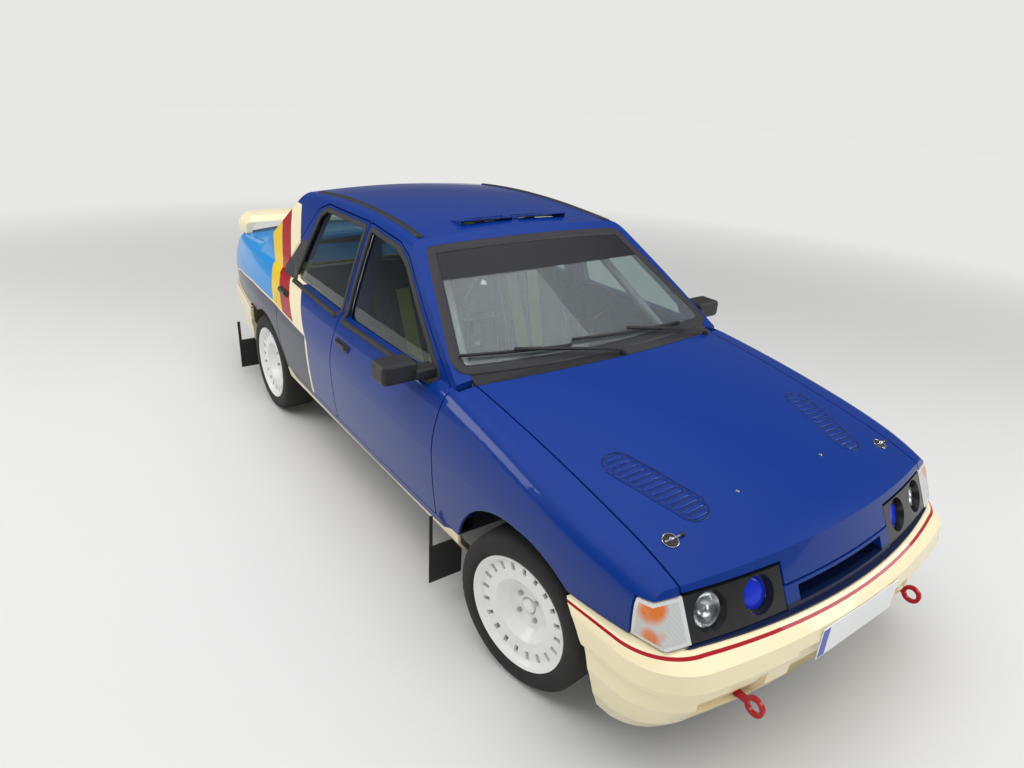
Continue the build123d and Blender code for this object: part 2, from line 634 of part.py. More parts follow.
def bumper(rows, back_x, arch, skin=28.0):
    outer = loft([bumper_level(row, back_x, 0) for row in rows], ruled=True)
    inner_rows = [list(row) for row in rows[:-1]]
    inner_rows[0][0] -= 1
    inner_rows[-1][0] = rows[-1][0] - 24
    inner = loft([bumper_level(row, back_x, skin) for row in inner_rows], ruled=True)
    sign = 1 if rows[0][1] > 0 else -1
    inner += block(back_x - sign, back_x + sign * 60, -812, 812, 100, 700)
    ledge = hull(20) & block(-2400, 2400, 0, -1000, rows[-1][0] - 60, rows[-1][0] + 20)
    return largest(outer - inner - arch - flip(arch) - ledge - flip(ledge))


def front_bumper():
    cover = bumper(FRONT_BUMPER, 1640, wheel_arch(FRONT_AXLE_X + 50, ARCH_FRONT_R + 6))
    shallow = loft([bumper_level(row, 1700, 18) for row in FRONT_BUMPER], ruled=True)
    for y0, y1, z0, z1 in BUMPER_RECESSES:
        cover -= block(2000, 2300, y0, y1, z0, z1) - shallow
    cover -= block(2236, 2300, -PLATE_SEAT[0], PLATE_SEAT[0], *PLATE_SEAT[1:])
    cover -= block(2100, 2300, -290, 290, 306, 380)
    for s in (-1, 1):
        cover -= block(2050, 2300, s * 450, s * 480, 330, 374)
    beam = block(BUMPER_SEAT_X + SEAT_GAP, 2096, -560, 560, 440, 540)
    posts = block(2060, 2208, 365, 405, 455, 540) + block(2060, 2208, -405, -365, 455, 540)
    return largest(cover + beam + posts)


def rear_bumper():
    cover = bumper(REAR_BUMPER, -1440, wheel_arch(REAR_AXLE_X, ARCH_REAR_R + 6))
    beam = block(-2080 - SEAT_GAP, -2120, -540, 540, 440, 520)
    posts = block(-2090, -2225, 380, 430, 440, 520) + block(-2090, -2225, -430, -380, 440, 520)
    return largest(cover + beam + posts)


def spoiler():
    """Boot spoiler: a blade whose ends turn down to the deck."""
    band = front_prism(
        [(-652, 922), (-652, 985), (-590, 1046), (590, 1046), (652, 985), (652, 922),
         (612, 922), (608, 968), (572, 1002), (-572, 1002), (-608, 968), (-612, 922)],
        -1960, -2210, [4, 40, 70, 70, 40, 4, 4, 20, 30, 30, 20, 4],
    )
    side = side_prism(
        [(-1996, 915), (-1990, 1002), (-2040, 1034), (-2120, 1042), (-2184, 1046), (-2188, 1036), (-2160, 915)],
        -700, 700, [20, 10, 60, 100, 2, 2, 20],
    )
    blade = band & side
    for y in (-260, 260):
        foot = block(-2040, -2120, y - 14, y + 14, 900, 1010)
        blade += foot
    return largest(blade - top_solid(-SEAT_GAP))


def mirror_pod():
    """Right-hand door mirror."""
    pod = block(668, 768, -965, -812, 925, 1008)
    pod = fillet(pod.edges().filter_by(Axis.X), 22)
    pod = fillet(pod.edges().sort_by(Axis.X)[-8:], 14)
    arm = block(712, 790, -830, -740, 936, 978)
    arm = fillet(arm.edges().filter_by(Axis.Y), 10)
    glass_recess = block(660, 674, -955, -824, 934, 1000)
    pod = (pod - glass_recess) + arm
    return largest(pod - body(-SEAT_GAP))


def floor():
    """Floor, bulkhead, inner wings, rails and boot floor."""
    low, high = FLOOR_Z, FLOOR_Z + FLOOR_SHEET
    pan = block(930, -790, -FLOOR_HALF, FLOOR_HALF, low, high) + block(-780, -905, -545, 545, low, high)
    tunnel = side_prism([(930, low), (930, 430), (500, 400), (-910, 380), (-910, low)], -TUNNEL_HALF, TUNNEL_HALF)
    hollow = side_prism([(940, 250), (940, 418), (500, 388), (-1020, 366), (-1020, 250)],
                        12 - TUNNEL_HALF, TUNNEL_HALF - 12)
    pan += block(BULKHEAD_X, 932, SEAT_GAP - POST_INNER_Y, POST_INNER_Y - SEAT_GAP, low, 900)
    ramp = [(-895, low), (-895, high), (-905, high), (-1010, BOOT_Z + FLOOR_SHEET), (-2080, BOOT_Z + FLOOR_SHEET),
            (-2080, BOOT_Z), (-1004, BOOT_Z), (-905, low)]
    pan += side_prism(ramp, -545, 545) + tunnel
    pan = pan - hollow + block(-1040, -1052, -600, 600, BOOT_Z, 900)
    for s in (-1, 1):
        rail = [(925, 300), (925, 420), (1180, 500), (RAIL_END_X, 500), (RAIL_END_X, 430), (1200, 430), (1010, 300)]
        pan += side_prism(rail, s * 372, s * 428)
        pan += block(925, 1345, s * 545, s * 557, 655, 760) + block(1505, 1890, s * 545, s * 557, 655, 760)
        pan += block(925, 1090, s * 424, s * 557, 420, 900)
        pan += block(570, 630, s * 590, s * 650, JACK_PAD_Z, FLOOR_Z + 2)
        tower = Pos(STRUT_TOP[0], s * STRUT_TOP[1], 790) * (Cylinder(90, 120) - Pos(0, 0, -12) * Cylinder(78, 120))
        tower -= Pos(STRUT_TOP[0], s * STRUT_TOP[1], 850) * Cylinder(14, 60)
        pan += tower + block(1300, 1560, s * 422, s * 500, 640, 700) + block(1300, 1560, s * 418, s * 434, 490, 700)
        tub = across(ARCH_REAR_R + 12, REAR_AXLE_X, HUB_Z, s * 533, s * 690) & block(-700, -1600, s * 400, s * 700, BOOT_Z, 700)
        pan += tub - across(ARCH_REAR_R, REAR_AXLE_X, HUB_Z, s * 545, s * 700)
    return largest(pan)


FLOOR_Z, FLOOR_SHEET, FLOOR_HALF, BOOT_Z = 262.0, 14.0, 698.0, 458.0
RAIL_END_X = 2020.0
JACK_PAD_Z = 254.0
TUNNEL_HALF = 100.0
BULKHEAD_X = 918.0
POST_INNER_Y = 640.0
STRUT_TOP = (1425.0, 560.0, 846.0)
STRUT_FOOT = (1440.0, 560.0, 340.0)
CARRIER_LOW = 205.0
BALL_JOINT = (FRONT_AXLE_X, 672.0, 212.0)


def steered(shape):
    """Right-hand knuckle or wheel, turned from straight ahead to its place at rest."""
    pin = Vector(STRUT_TOP[0], -STRUT_TOP[1], STRUT_TOP[2]) - Vector(BALL_JOINT[0], -BALL_JOINT[1], BALL_JOINT[2])
    return shape.rotate(Axis((BALL_JOINT[0], -BALL_JOINT[1], BALL_JOINT[2]), pin.normalized()), STEER_AT_REST)


def steered_left(shape):
    pin = Vector(*STRUT_TOP) - Vector(*BALL_JOINT)
    return shape.rotate(Axis(BALL_JOINT, pin.normalized()), STEER_AT_REST)


def knuckle():
    """Right-hand hub carrier with its strut, straight ahead."""
    foot = Vector(STRUT_FOOT[0], -STRUT_FOOT[1], STRUT_FOOT[2])
    way = (Vector(STRUT_TOP[0], -STRUT_TOP[1], STRUT_TOP[2]) - foot).normalized()
    strut = rod(foot, foot + way * 506, 11) + rod(foot - way * 40, foot + way * 300, 25)
    for k in range(3):
        strut += rod(foot + way * (300 + 60 * k), foot + way * (306 + 60 * k), 50)
    carrier = block(BALL_JOINT[0] - 45, BALL_JOINT[0] + 45, -640, -690, CARRIER_LOW, 372)
    carrier += block(BALL_JOINT[0] - 32, BALL_JOINT[0] + 18, -560, -645, 300, 372)
    spindle = across(HUB_SPIGOT_R, FRONT_AXLE_X, HUB_Z, -660, -(WHEEL_MID_Y + 32))
    flange = across(70, FRONT_AXLE_X, HUB_Z, -676, -(WHEEL_MID_Y - 14))
    caliper = block(FRONT_AXLE_X - 150, FRONT_AXLE_X - 80, -655, -(WHEEL_MID_Y - 14), 260, 350)
    arm = rod((FRONT_AXLE_X - 10, -655, 240), (FRONT_AXLE_X - 130, -640, 240), 11)
    return strut + carrier + spindle + flange + caliper + arm


HUB_SPIGOT_R = 31.0
HUB_BORE_R = 31.5
BOLT_CIRCLE_R = 54.0
SLOT_COUNT = 20


def rim():
    """Right-hand rim about the Y axis at the origin, its face towards -Y."""
    outline = [
        (-101, 220), (-95, 220), (-88, 211), (-84, 203), (84, 203), (88, 211), (95, 220), (101, 220), (94, 206),
        (80, 196), (-64, 196), (-66, 118), (-30, 84), (-20, HUB_BORE_R), (-32, HUB_BORE_R), (-40, 86),
        (-76, 122), (-79, 190), (-84, 197), (-95, 208),
    ]
    face = Face(Wire.make_polygon([Vector(0, y, r) for y, r in outline], close=True))
    wheel = revolve(face, Axis((0, 0, 0), (0, 1, 0)), 360)
    for k in range(SLOT_COUNT):
        wheel -= Rot(0, 360 / SLOT_COUNT * k, 0) * block(-8.5, 8.5, -100, -50, 161, 193)
    for k in range(4):
        wheel -= Rot(0, 90 * k + 45, 0) * Pos(0, -30, BOLT_CIRCLE_R) * Rot(90, 0, 0) * Cylinder(7, 40)
    return largest(wheel)


def tyre():
    """Tyre about the Y axis at the origin."""
    half = TYRE_WIDTH / 2
    shoulder = TYRE_RADIUS - 13
    bead_y, bead_r, seat = 86, 221, RIM_LIP_RADIUS - 17 + SEAT_GAP
    face = Face(Wire([
        arc((0, -half + 13, shoulder + 9), (0, 0, TYRE_RADIUS), (0, half - 13, shoulder + 9)),
        line((0, half - 13, shoulder + 9), (0, half - 2, shoulder - 6)),
        arc((0, half - 2, shoulder - 6), (0, half + 4, 252), (0, 101.5, bead_r + 0.3)),
        line((0, 101.5, bead_r + 0.3), (0, 86, bead_r + 0.3)), line((0, 86, bead_r + 0.3), (0, 83, seat)),
        line((0, 83, seat), (0, 70, seat)), line((0, 70, seat), (0, 80, 268)),
        line((0, 80, 268), (0, 66, 284)), line((0, 66, 284), (0, -66, 284)), line((0, -66, 284), (0, -80, 268)),
        line((0, -80, 268), (0, -70, seat)), line((0, -70, seat), (0, -83, seat)),
        line((0, -83, seat), (0, -86, bead_r + 0.3)), line((0, -86, bead_r + 0.3), (0, -101.5, bead_r + 0.3)),
        arc((0, -101.5, bead_r + 0.3), (0, -half - 4, 252), (0, -half + 2, shoulder - 6)),
        line((0, -half + 2, shoulder - 6), (0, -half + 13, shoulder + 9)),
    ]))
    return revolve(face, Axis((0, 0, 0), (0, 1, 0)), 360)


def wheels():
    wheel_rim, wheel_tyre = rim(), tyre()
    for name, thing in (("rim", wheel_rim), ("tyre", wheel_tyre)):
        front = Pos(FRONT_AXLE_X, -WHEEL_MID_Y, HUB_Z) * thing
        rear = Pos(REAR_AXLE_X, -WHEEL_MID_Y, HUB_Z) * thing
        parts[name + "_front_right"] = steered(front)
        parts[name + "_front_left"] = steered_left(flip(front))
        parts[name + "_rear_right"] = rear
        parts[name + "_rear_left"] = flip(rear)
    parts["knuckle_right"] = steered(knuckle())
    parts["knuckle_left"] = steered_left(flip(knuckle()))


def seat(y):
    base = side_prism([(420, 300), (440, 420), (380, 440), (-10, 400), (-60, 440), (-250, 1120), (-320, 1120),
                       (-180, 420), (-120, 290)], y - 170, y + 170, [20, 30, 30, 60, 60, 30, 30, 60, 30])
    bolsters = side_prism([(420, 300), (450, 500), (60, 520), (20, 640), (-120, 1000), (-230, 1120), (-320, 1120),
                           (-180, 420), (-120, 290)], y - 236, y + 236, [20, 40, 60, 60, 60, 30, 30, 60, 30])
    bolsters -= block(-400, 500, y - 186, y + 186, 200, 1300)
    back = side_prism([(420, 290), (420, 305), (-110, 300), (-290, 1120), (-320, 1120), (-180, 420),
                       (-120, 290)], y - 236, y + 236)
    rails = block(-120, 400, y - 190, y - 160, FLOOR_Z + FLOOR_SHEET + SEAT_GAP, 300)
    rails += block(-120, 400, y + 160, y + 190, FLOOR_Z + FLOOR_SHEET + SEAT_GAP, 300)
    return largest(Pos(SEAT_X, 0, 0) * (base + bolsters + back + rails))


SEAT_X = 60.0


def roll_cage():
    """Welded cage of round tube: main hoop, front legs, roof bars, stays and door bars."""
    foot_z = 310.0
    hoop_top, hoop_bend, hoop_waist = (HOOP_X, 400, 1305), (HOOP_X, 490, 1235), (HOOP_X, 604, 880)
    hoop_foot, front_foot, harness = (HOOP_X, 604, foot_z), (820, 604, foot_z), (HOOP_X, 604, 720)
    front_waist, front_top, stay_foot = (815, 600, 850), (330, 455, 1225), (-985, 470, 505)
    joints, bars = set(), []
    for s in (-1, 1):
        def side(*points):
            return [(x, s * y, z) for x, y, z in points]
        door_bars = ((819, 602, 600), (HOOP_X, 604, 420)), ((820, 603, 420), (HOOP_X, 604, 600))
        for run in (
            side(hoop_foot, hoop_waist, hoop_bend, hoop_top), side(front_foot, front_waist, front_top, hoop_top),
            side(hoop_top, stay_foot), *[side(*bar) for bar in door_bars],
        ):
            joints.update(run)
            bars += list(zip(run, run[1:]))
    for x, y, z in (hoop_top, front_top):
        bars.append(((x, -y, z), (x, y, z)))
    far_top, far_harness = (HOOP_X, -400, 1305), (HOOP_X, -604, 720)
    bars.append((far_top, stay_foot))
    cage = rod(*bars[0], CAGE_R)
    for p, q in bars[1:]:
        cage += rod(p, q, CAGE_R)
    cage += rod(far_harness, harness, CAGE_THIN_R) + rod(harness, far_top, CAGE_THIN_R)
    for joint in sorted(joints):
        cage += Pos(*joint) * Sphere(CAGE_R + 1.5)
    for x, y, z in (hoop_foot, front_foot, stay_foot):
        seat_z = FLOOR_Z + FLOOR_SHEET if z == foot_z else BOOT_Z + FLOOR_SHEET
        for side_y in (-y, y):
            cage += block(x - 45, x + 45, side_y - 45, side_y + 45, seat_z + SEAT_GAP, seat_z + 8)
            cage += Pos(x, side_y, (seat_z + 2 + z) / 2) * Cylinder(CAGE_R + 1, z - seat_z - 2)
    return largest(cage)


CAGE_R = 20.0
CAGE_THIN_R = 17.0
HOOP_X = -290.0


def dashboard():
    dash = side_prism([(BULKHEAD_X - SEAT_GAP, 600), (BULKHEAD_X - SEAT_GAP, 912), (800, 925), (620, 900), (560, 860), (560, 720), (640, 640)],
                      -552, 552, [10, 30, 40, 40, 30, 30, 30])
    return dash + rod((700, DRIVER_Y, 760), (470.5, DRIVER_Y, 849.8), 18)


def steering_wheel():
    plane = Plane(origin=(430, DRIVER_Y, 866), z_dir=Vector(-230, 0, 90).normalized())
    ring = revolve(plane * (Pos(165, 0, 0) * Circle(14)), Axis(plane.origin, plane.z_dir), 360)
    hub = extrude(plane * Circle(42), amount=-30)
    for turn in (0, 120, 240):
        spoke = plane * (Rot(0, 0, turn) * Pos(88, 0, -6) * Box(160, 26, 6))
        hub += spoke
    return largest(ring + hub + rod((470, DRIVER_Y, 850), (436, DRIVER_Y, 863), 18))


DRIVER_Y = 338.0


def mechanics():
    engine = side_prism([(1240, 300.3), (1240, 800), (1820, 770), (1860, 700), (1860, 300.3)], -230, 230, [20, 60, 40, 60, 20])
    parts["engine"] = engine
    line_parts = Pos(1184.7, 0, 345) * Rot(0, 90, 0) * Cylinder(120, 110)
    line_parts += Pos(900, 0, 322) * Rot(0, 90, 0) * Cone(64, 96, 460)
    line_parts += rod((680, 0, 322), (-1000, 0, 318), 34)
    line_parts += block(-1010, -1290, -110, 110, 230, 400)
    for s in (-1, 1):
        line_parts += rod((REAR_AXLE_X, s * 100, HUB_Z), (REAR_AXLE_X, s * (500 - SEAT_GAP), HUB_Z), 17)
    parts["drivetrain"] = line_parts
    pipe = tube_run([(1300, -277, 330), (900, -190, 225), (-700, -190, 235), (-900, -190, 215), (-1400, -260, 215)], 27)
    pipe += Pos(-1640, -330, 240) * Rot(0, 90, 0) * Cylinder(85, 480)
    pipe += tube_run([(-1400, -260, 215), (-1500, -320, 240)], 27) + tube_run([(-1860, -360, 226), (-2215, -400, 226)], 30)
    parts["exhaust"] = pipe
    front = block(1400, 1500, -380, 380, 226, 300)
    for s in (-1, 1):
        front += tube_run([(1450, s * 360, 240), (1447, s * 620, 178), (1447, s * BALL_JOINT[1], 178)], 18)
        front += rod((BALL_JOINT[0], s * BALL_JOINT[1], 164), (BALL_JOINT[0], s * BALL_JOINT[1], CARRIER_LOW - 2.5), 12)
        front += tube_run([(1890, s * 372, 330), (1560, s * 395, 250), (1480, s * 480, 215), (1452, s * 540, 200)], 11)
        front += block(1880, 1900, s * 372, s * 384, 320, 430 - SEAT_GAP)
        front += block(1400, 1500, s * 372, s * 428, 290, 430)
    front += rod((1340, -560, 262), (1340, 560, 262), 16) + block(1330, 1410, -380, 380, 250, 274)
    front += rod((1890, -372, 330), (1890, 372, 330), 11)
    parts["front_suspension"] = front
    rear = front_prism([(-540, 262), (540, 262), (540, 332), (55, 332), (55, 272), (-55, 272), (-55, 332), (-540, 332)],
                       -950, -990)
    for s in (-1, 1):
        rear += side_prism([(-955, 268), (-955, 325), (-1150, 345), (-1230, 345), (-1230, 255), (-1150, 255)],
                           s * 500, s * 550)
        rear += across(48, REAR_AXLE_X, HUB_Z, s * 545, s * 645)
        rear += across(70, REAR_AXLE_X, HUB_Z, s * 640, s * (WHEEL_MID_Y - 14))
        rear += across(HUB_SPIGOT_R, REAR_AXLE_X, HUB_Z, s * 660, s * (WHEEL_MID_Y + 32))
        rear += rod((-1100, s * 500, 330), (-1100, s * 500, 458 - SEAT_GAP), 44)
    parts["rear_suspension"] = rear


def small_pieces():
    flaps = []
    for x, low, top, out in ((917, 62, 245, 832), (-1736, 62, 262, 828.3)):
        flap = block(x, x + 6, -690, -846, low, top - SEAT_GAP) + block(x, x + 6, -out, -846, top - 10, 394)
        flaps.append(flap)
    flaps = Compound(children=flaps)
    parts["mud_flaps"] = both(flaps)
    eye = Pos(2213, -465, 352) * (Rot(90, 0, 0) * (Cylinder(34, 12) - Cylinder(TOW_BORE_R, 12)))
    eye += block(2050, 2186, -471, -459, 340, 364) + block(2050, 2080, -471, -459, 340, 440 - SEAT_GAP)
    parts["tow_eyes"] = both(eye)


TOW_BORE_R = 20.0


SCREEN_CROWN = 17.0
SCREEN_CORNER = 36.0
SCREEN_OUT = 2.0
SCREEN_IN = 8.0
ROOF_SEAM_Y = 505.0
TAIL_SEAM_X = -2090.0
BUMPER_TOP_Z = 588.0
SKIRT_SKIN = 10.0
SKIRT_LOW_Z = 245.0
COWL_SEAT_Y = 668.0
BUMPER_SEAT_X = 2045.0
LAMP_TOP_Z = 724.0
NOSE_SPLIT_Z = 661.0
LAMP_LOW_Z = 598.0
LAMP_MID_Z = 667.0
LAMP_INNER_Y = 300.0
LAMP_OUTER_Y = 664.0
LAMP_BOWLS = [399.0, 580.0]
LENS_RADIUS = 53.0
LAMP_DEPTH = 26.0
VENT_HALF = 310.0

MAKERS = [
    ("side_frame_right", side_frame), ("sill_skirts", lambda: both(skirt())),
    ("front_wings", lambda: both(front_wing())), ("bonnet", bonnet), ("cowl_panel", cowl), ("nose_panel", nose), ("headlamp_units", lambda: both(lamp_unit())),
    ("lamp_glasses", lambda: both(Compound(children=[*lamp_lenses(), corner_lamp()]))),
    ("tail_lamps", lambda: both(tail_lamp())), ("rear_panel", lambda: rear_panel() + flip(rear_panel())),
    ("boot_lid", boot_lid), ("rear_shelf", rear_shelf), ("roof_panel", roof), ("front_bumper", front_bumper),
    ("rear_bumper", rear_bumper), ("rear_spoiler", spoiler), ("mirror_right", mirror_pod), ("floor_pan", floor),
    ("roll_cage", roll_cage), ("dashboard", dashboard),
    ("seats", lambda: Compound(children=[seat(-DRIVER_Y), seat(DRIVER_Y)])),
    ("windscreen", lambda: screen(SCREEN_LOW, SCREEN_HIGH, SCREEN_BOW, 400)),
    ("rear_window", lambda: screen(BACKLIGHT_LOW, BACKLIGHT_HIGH, BACKLIGHT_BOW, -500)),
    ("steering_wheel", steering_wheel),
]

doors()
for name, make in MAKERS:
    parts[name] = make()
for make in (wheels, mechanics, small_pieces):
    make()
for name in ("side_frame", "mirror", "door_front", "door_rear", "window_front", "window_rear"):
    if name + "_right" in parts:
        parts[name + "_left"] = flip(parts[name + "_right"])

for name, shape in parts.items():
    export_step(Compound(children=solids_of(shape)), f"parts/{name}.step")
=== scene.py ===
"""Rally car: paint, glass, rubber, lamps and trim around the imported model.

Metres, in the frame of the CAD: +X forward, +Y to the car's left, +Z up, origin on the ground.
Pieces of the right-hand side are made once and mirrored to the left.
"""

import json
import math

import bmesh
import bpy
from mathutils import Matrix, Vector
from mathutils.bvhtree import BVHTree


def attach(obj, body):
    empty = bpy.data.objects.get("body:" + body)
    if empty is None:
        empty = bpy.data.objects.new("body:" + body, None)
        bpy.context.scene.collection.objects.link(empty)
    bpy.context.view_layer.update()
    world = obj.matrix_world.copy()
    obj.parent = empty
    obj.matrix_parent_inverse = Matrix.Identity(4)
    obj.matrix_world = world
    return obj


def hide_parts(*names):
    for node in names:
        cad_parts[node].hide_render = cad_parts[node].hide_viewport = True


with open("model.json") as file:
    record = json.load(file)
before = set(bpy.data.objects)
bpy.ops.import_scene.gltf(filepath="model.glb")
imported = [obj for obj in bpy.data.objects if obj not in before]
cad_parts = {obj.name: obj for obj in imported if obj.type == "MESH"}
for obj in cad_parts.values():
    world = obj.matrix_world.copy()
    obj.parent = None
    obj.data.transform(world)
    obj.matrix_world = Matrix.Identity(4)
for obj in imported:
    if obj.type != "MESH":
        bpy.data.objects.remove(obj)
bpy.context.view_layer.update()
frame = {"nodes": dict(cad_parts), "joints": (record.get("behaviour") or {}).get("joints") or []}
NODES = frame["nodes"]

# Camera: a wide lens above the right front corner
CAMERA_PLACE = (2.977, -2.007, 2.042)
CAMERA_YAW, CAMERA_PITCH, CAMERA_ROLL = 143.26, -24.01, 3.31
FOCAL_PIXELS = 700.2
FRAME_WIDTH = 1024

# Colours, linear
BLUE = (0.003, 0.028, 0.200)
# Navy: body blue darkened as painted reflection of the dark ground low on the sides and sills, and the nose's
# navy strip under the lamps, which holds painted shade too
NAVY_AND_SHADE = (0.004, 0.010, 0.042)
SKY = (0.012, 0.245, 0.620)
YELLOW = (0.760, 0.520, 0.014)
RED = (0.360, 0.006, 0.016)
CREAM = (0.850, 0.750, 0.500)
FLOOR = (0.640, 0.640, 0.630)

# Livery in side view: each edge between bands as (height, x), and the cream line as (x, height)
SKY_YELLOW = [(0.70, -0.885), (0.761, -0.940), (0.942, -1.112), (1.009, -1.192), (1.40, -1.62)]
YELLOW_RED = [(0.70, -0.730), (0.748, -0.771), (0.931, -0.957), (1.085, -1.100), (1.40, -1.36)]
RED_CREAM = [(0.70, -0.560), (0.741, -0.595), (0.936, -0.788), (1.013, -0.880), (1.172, -1.014),
             (1.40, -1.18)]
CREAM_BLUE = [(0.70, -0.390), (0.729, -0.416), (0.942, -0.603), (1.110, -0.800), (1.248, -0.912),
              (1.40, -1.03)]
CREAM_LINE = [(-2.30, 0.606), (-2.200, 0.631), (-1.820, 0.728), (-1.400, 0.764), (-0.940, 0.761),
              (-0.771, 0.748), (-0.416, 0.729), (-0.20, 0.724)]
LINE_WIDTH, CREAM_LINE_END = 0.009, -0.416
# Red line round the bumpers, and the dark strip of the nose under the lamps, navy paint with painted shade
RED_LINE_Z, RED_LINE_HALF = 0.579, 0.0034
UNDER_LAMPS_Z = 0.612
# Upper edge of the sill's cream strip, (x, height)
SILL_EDGE = [(-1.0, 0.420), (-0.80, 0.405), (-0.70, 0.372), (0.90, 0.366), (0.98, 0.372), (1.04, 0.400),
             (1.20, 0.470)]

# Outlines in side view, (x, z, corner radius)
FRONT_GLASS = [(0.806, 0.938, 0.010), (0.346, 1.262, 0.060), (0.240, 1.304, 0.050), (-0.042, 1.328, 0.014),
               (-0.026, 0.932, 0.014)]
REAR_GLASS = [(-0.104, 0.934, 0.014), (-0.120, 1.328, 0.014), (-0.584, 1.324, 0.040), (-0.640, 1.290, 0.040),
              (-0.736, 0.946, 0.030)]
SCREEN_LOW, SCREEN_HIGH, SCREEN_CROWN = (0.712, 0.981), (0.541, 1.329), 0.017
BACK_LOW, BACK_HIGH = (0.671, 0.952), (0.532, 1.345)
WHEELS = ("front_right", "front_left", "rear_right", "rear_left")


class Graph:
    """Short names for the node calls of one material."""

    def __init__(self, name):
        self.material = bpy.data.materials.new(name)
        self.material.use_nodes = True
        self.nodes = self.material.node_tree.nodes
        self.links = self.material.node_tree.links
        self.nodes.clear()
        self.shader = self.add("ShaderNodeBsdfPrincipled")
        output = self.add("ShaderNodeOutputMaterial")
        self.links.new(self.shader.outputs[0], output.inputs["Surface"])
        self.place = self.add("ShaderNodeTexCoord").outputs["Object"]

    def add(self, kind, **settings):
        node = self.nodes.new(kind)
        for key, value in settings.items():
            setattr(node, key, value)
        return node

    def feed(self, socket, value):
        if isinstance(value, bpy.types.NodeSocket):
            self.links.new(value, socket)
        elif isinstance(value, tuple) and len(value) == 3 and socket.type == "RGBA":
            socket.default_value = (*value, 1)
        else:
            socket.default_value = value

    def set(self, **values):
        for key, value in values.items():
            self.feed(self.shader.inputs[key.replace("_", " ")], value)
        return self

    def math(self, operation, a, b=0.0, clamp=False):
        node = self.add("ShaderNodeMath", operation=operation, use_clamp=clamp)
        self.feed(node.inputs[0], a)
        self.feed(node.inputs[1], b)
        return node.outputs[0]

    def times(self, a, b, clamp=False):
        return self.math("MULTIPLY", a, b, clamp)

    def plus(self, a, b, clamp=False):
        return self.math("ADD", a, b, clamp)

    def minus(self, a, b, clamp=False):
        return self.math("SUBTRACT", a, b, clamp)

    def under(self, a, b):
        return self.math("LESS_THAN", a, b)

    def over(self, a, b):
        return self.math("GREATER_THAN", a, b)

    def mix(self, factor, a, b):
        node = self.add("ShaderNodeMix", data_type="RGBA")
        self.feed(node.inputs["Factor"], factor)
        self.feed(node.inputs[6], a)
        self.feed(node.inputs[7], b)
        return node.outputs[2]

    def axes(self, vector=None):
        node = self.add("ShaderNodeSeparateXYZ")
        self.feed(node.inputs[0], vector or self.place)
        return node.outputs

    def noise(self, scale, detail=3.0, stretch=None):
        node = self.add("ShaderNodeTexNoise")
        self.feed(node.inputs["Scale"], float(scale))
        self.feed(node.inputs["Detail"], detail)
        vector = self.place
        if stretch:
            mapping = self.add("ShaderNodeMapping")
            self.feed(mapping.inputs["Scale"], stretch)
            self.links.new(vector, mapping.inputs["Vector"])
            vector = mapping.outputs[0]
        self.links.new(vector, node.inputs["Vector"])
        return node.outputs["Fac"]

    def spread(self, value, low, high):
        """Value from 0..1 moved to low..high."""
        node = self.add("ShaderNodeMapRange")
        self.feed(node.inputs["Value"], value)
        self.feed(node.inputs["To Min"], low)
        self.feed(node.inputs["To Max"], high)
        return node.outputs[0]

    def curve(self, value, points):
        """Straight runs through points (in, out)."""
        low, high = points[0][0], points[-1][0]
        least, most = min(p[1] for p in points), max(p[1] for p in points)
        scaled = self.math("DIVIDE", self.math("SUBTRACT", value, low), high - low, clamp=True)
        node = self.add("ShaderNodeFloatCurve")
        line = node.mapping.curves[0]
        shape = [((a - low) / (high - low), (b - least) / (most - least)) for a, b in points]
        line.points[0].location, line.points[1].location = shape[0], shape[-1]
        for spot in shape[1:-1]:
            line.points.new(*spot)
        for point in line.points:
            point.handle_type = "VECTOR"
        node.mapping.update()
        self.feed(node.inputs["Value"], scaled)
        return self.math("ADD", self.math("MULTIPLY", node.outputs[0], most - least), least)

    def bump(self, height, strength, distance=0.001):
        node = self.add("ShaderNodeBump")
        self.feed(node.inputs["Height"], height)
        self.feed(node.inputs["Strength"], strength)
        self.feed(node.inputs["Distance"], distance)
        self.links.new(node.outputs[0], self.shader.inputs["Normal"])
        return self


def coated(graph, colour, dust=0.06):
    """Old two-pack paint: clear coat and dust that gathers low down."""
    fine = graph.noise(5, 3)
    height = graph.axes()[2]
    low = graph.minus(1.0, graph.times(height, 1.7), clamp=True)
    amount = graph.times(graph.times(fine, low), dust * 1.2, clamp=True)
    graph.set(Base_Color=graph.mix(amount, colour, (0.20, 0.17, 0.12)), Metallic=0.0, IOR=1.5)
    graph.set(Specular_IOR_Level=0.1)
    graph.set(Roughness=0.29)
    graph.set(Coat_Weight=0.50, Coat_Roughness=0.035, Coat_IOR=1.45)
    return graph


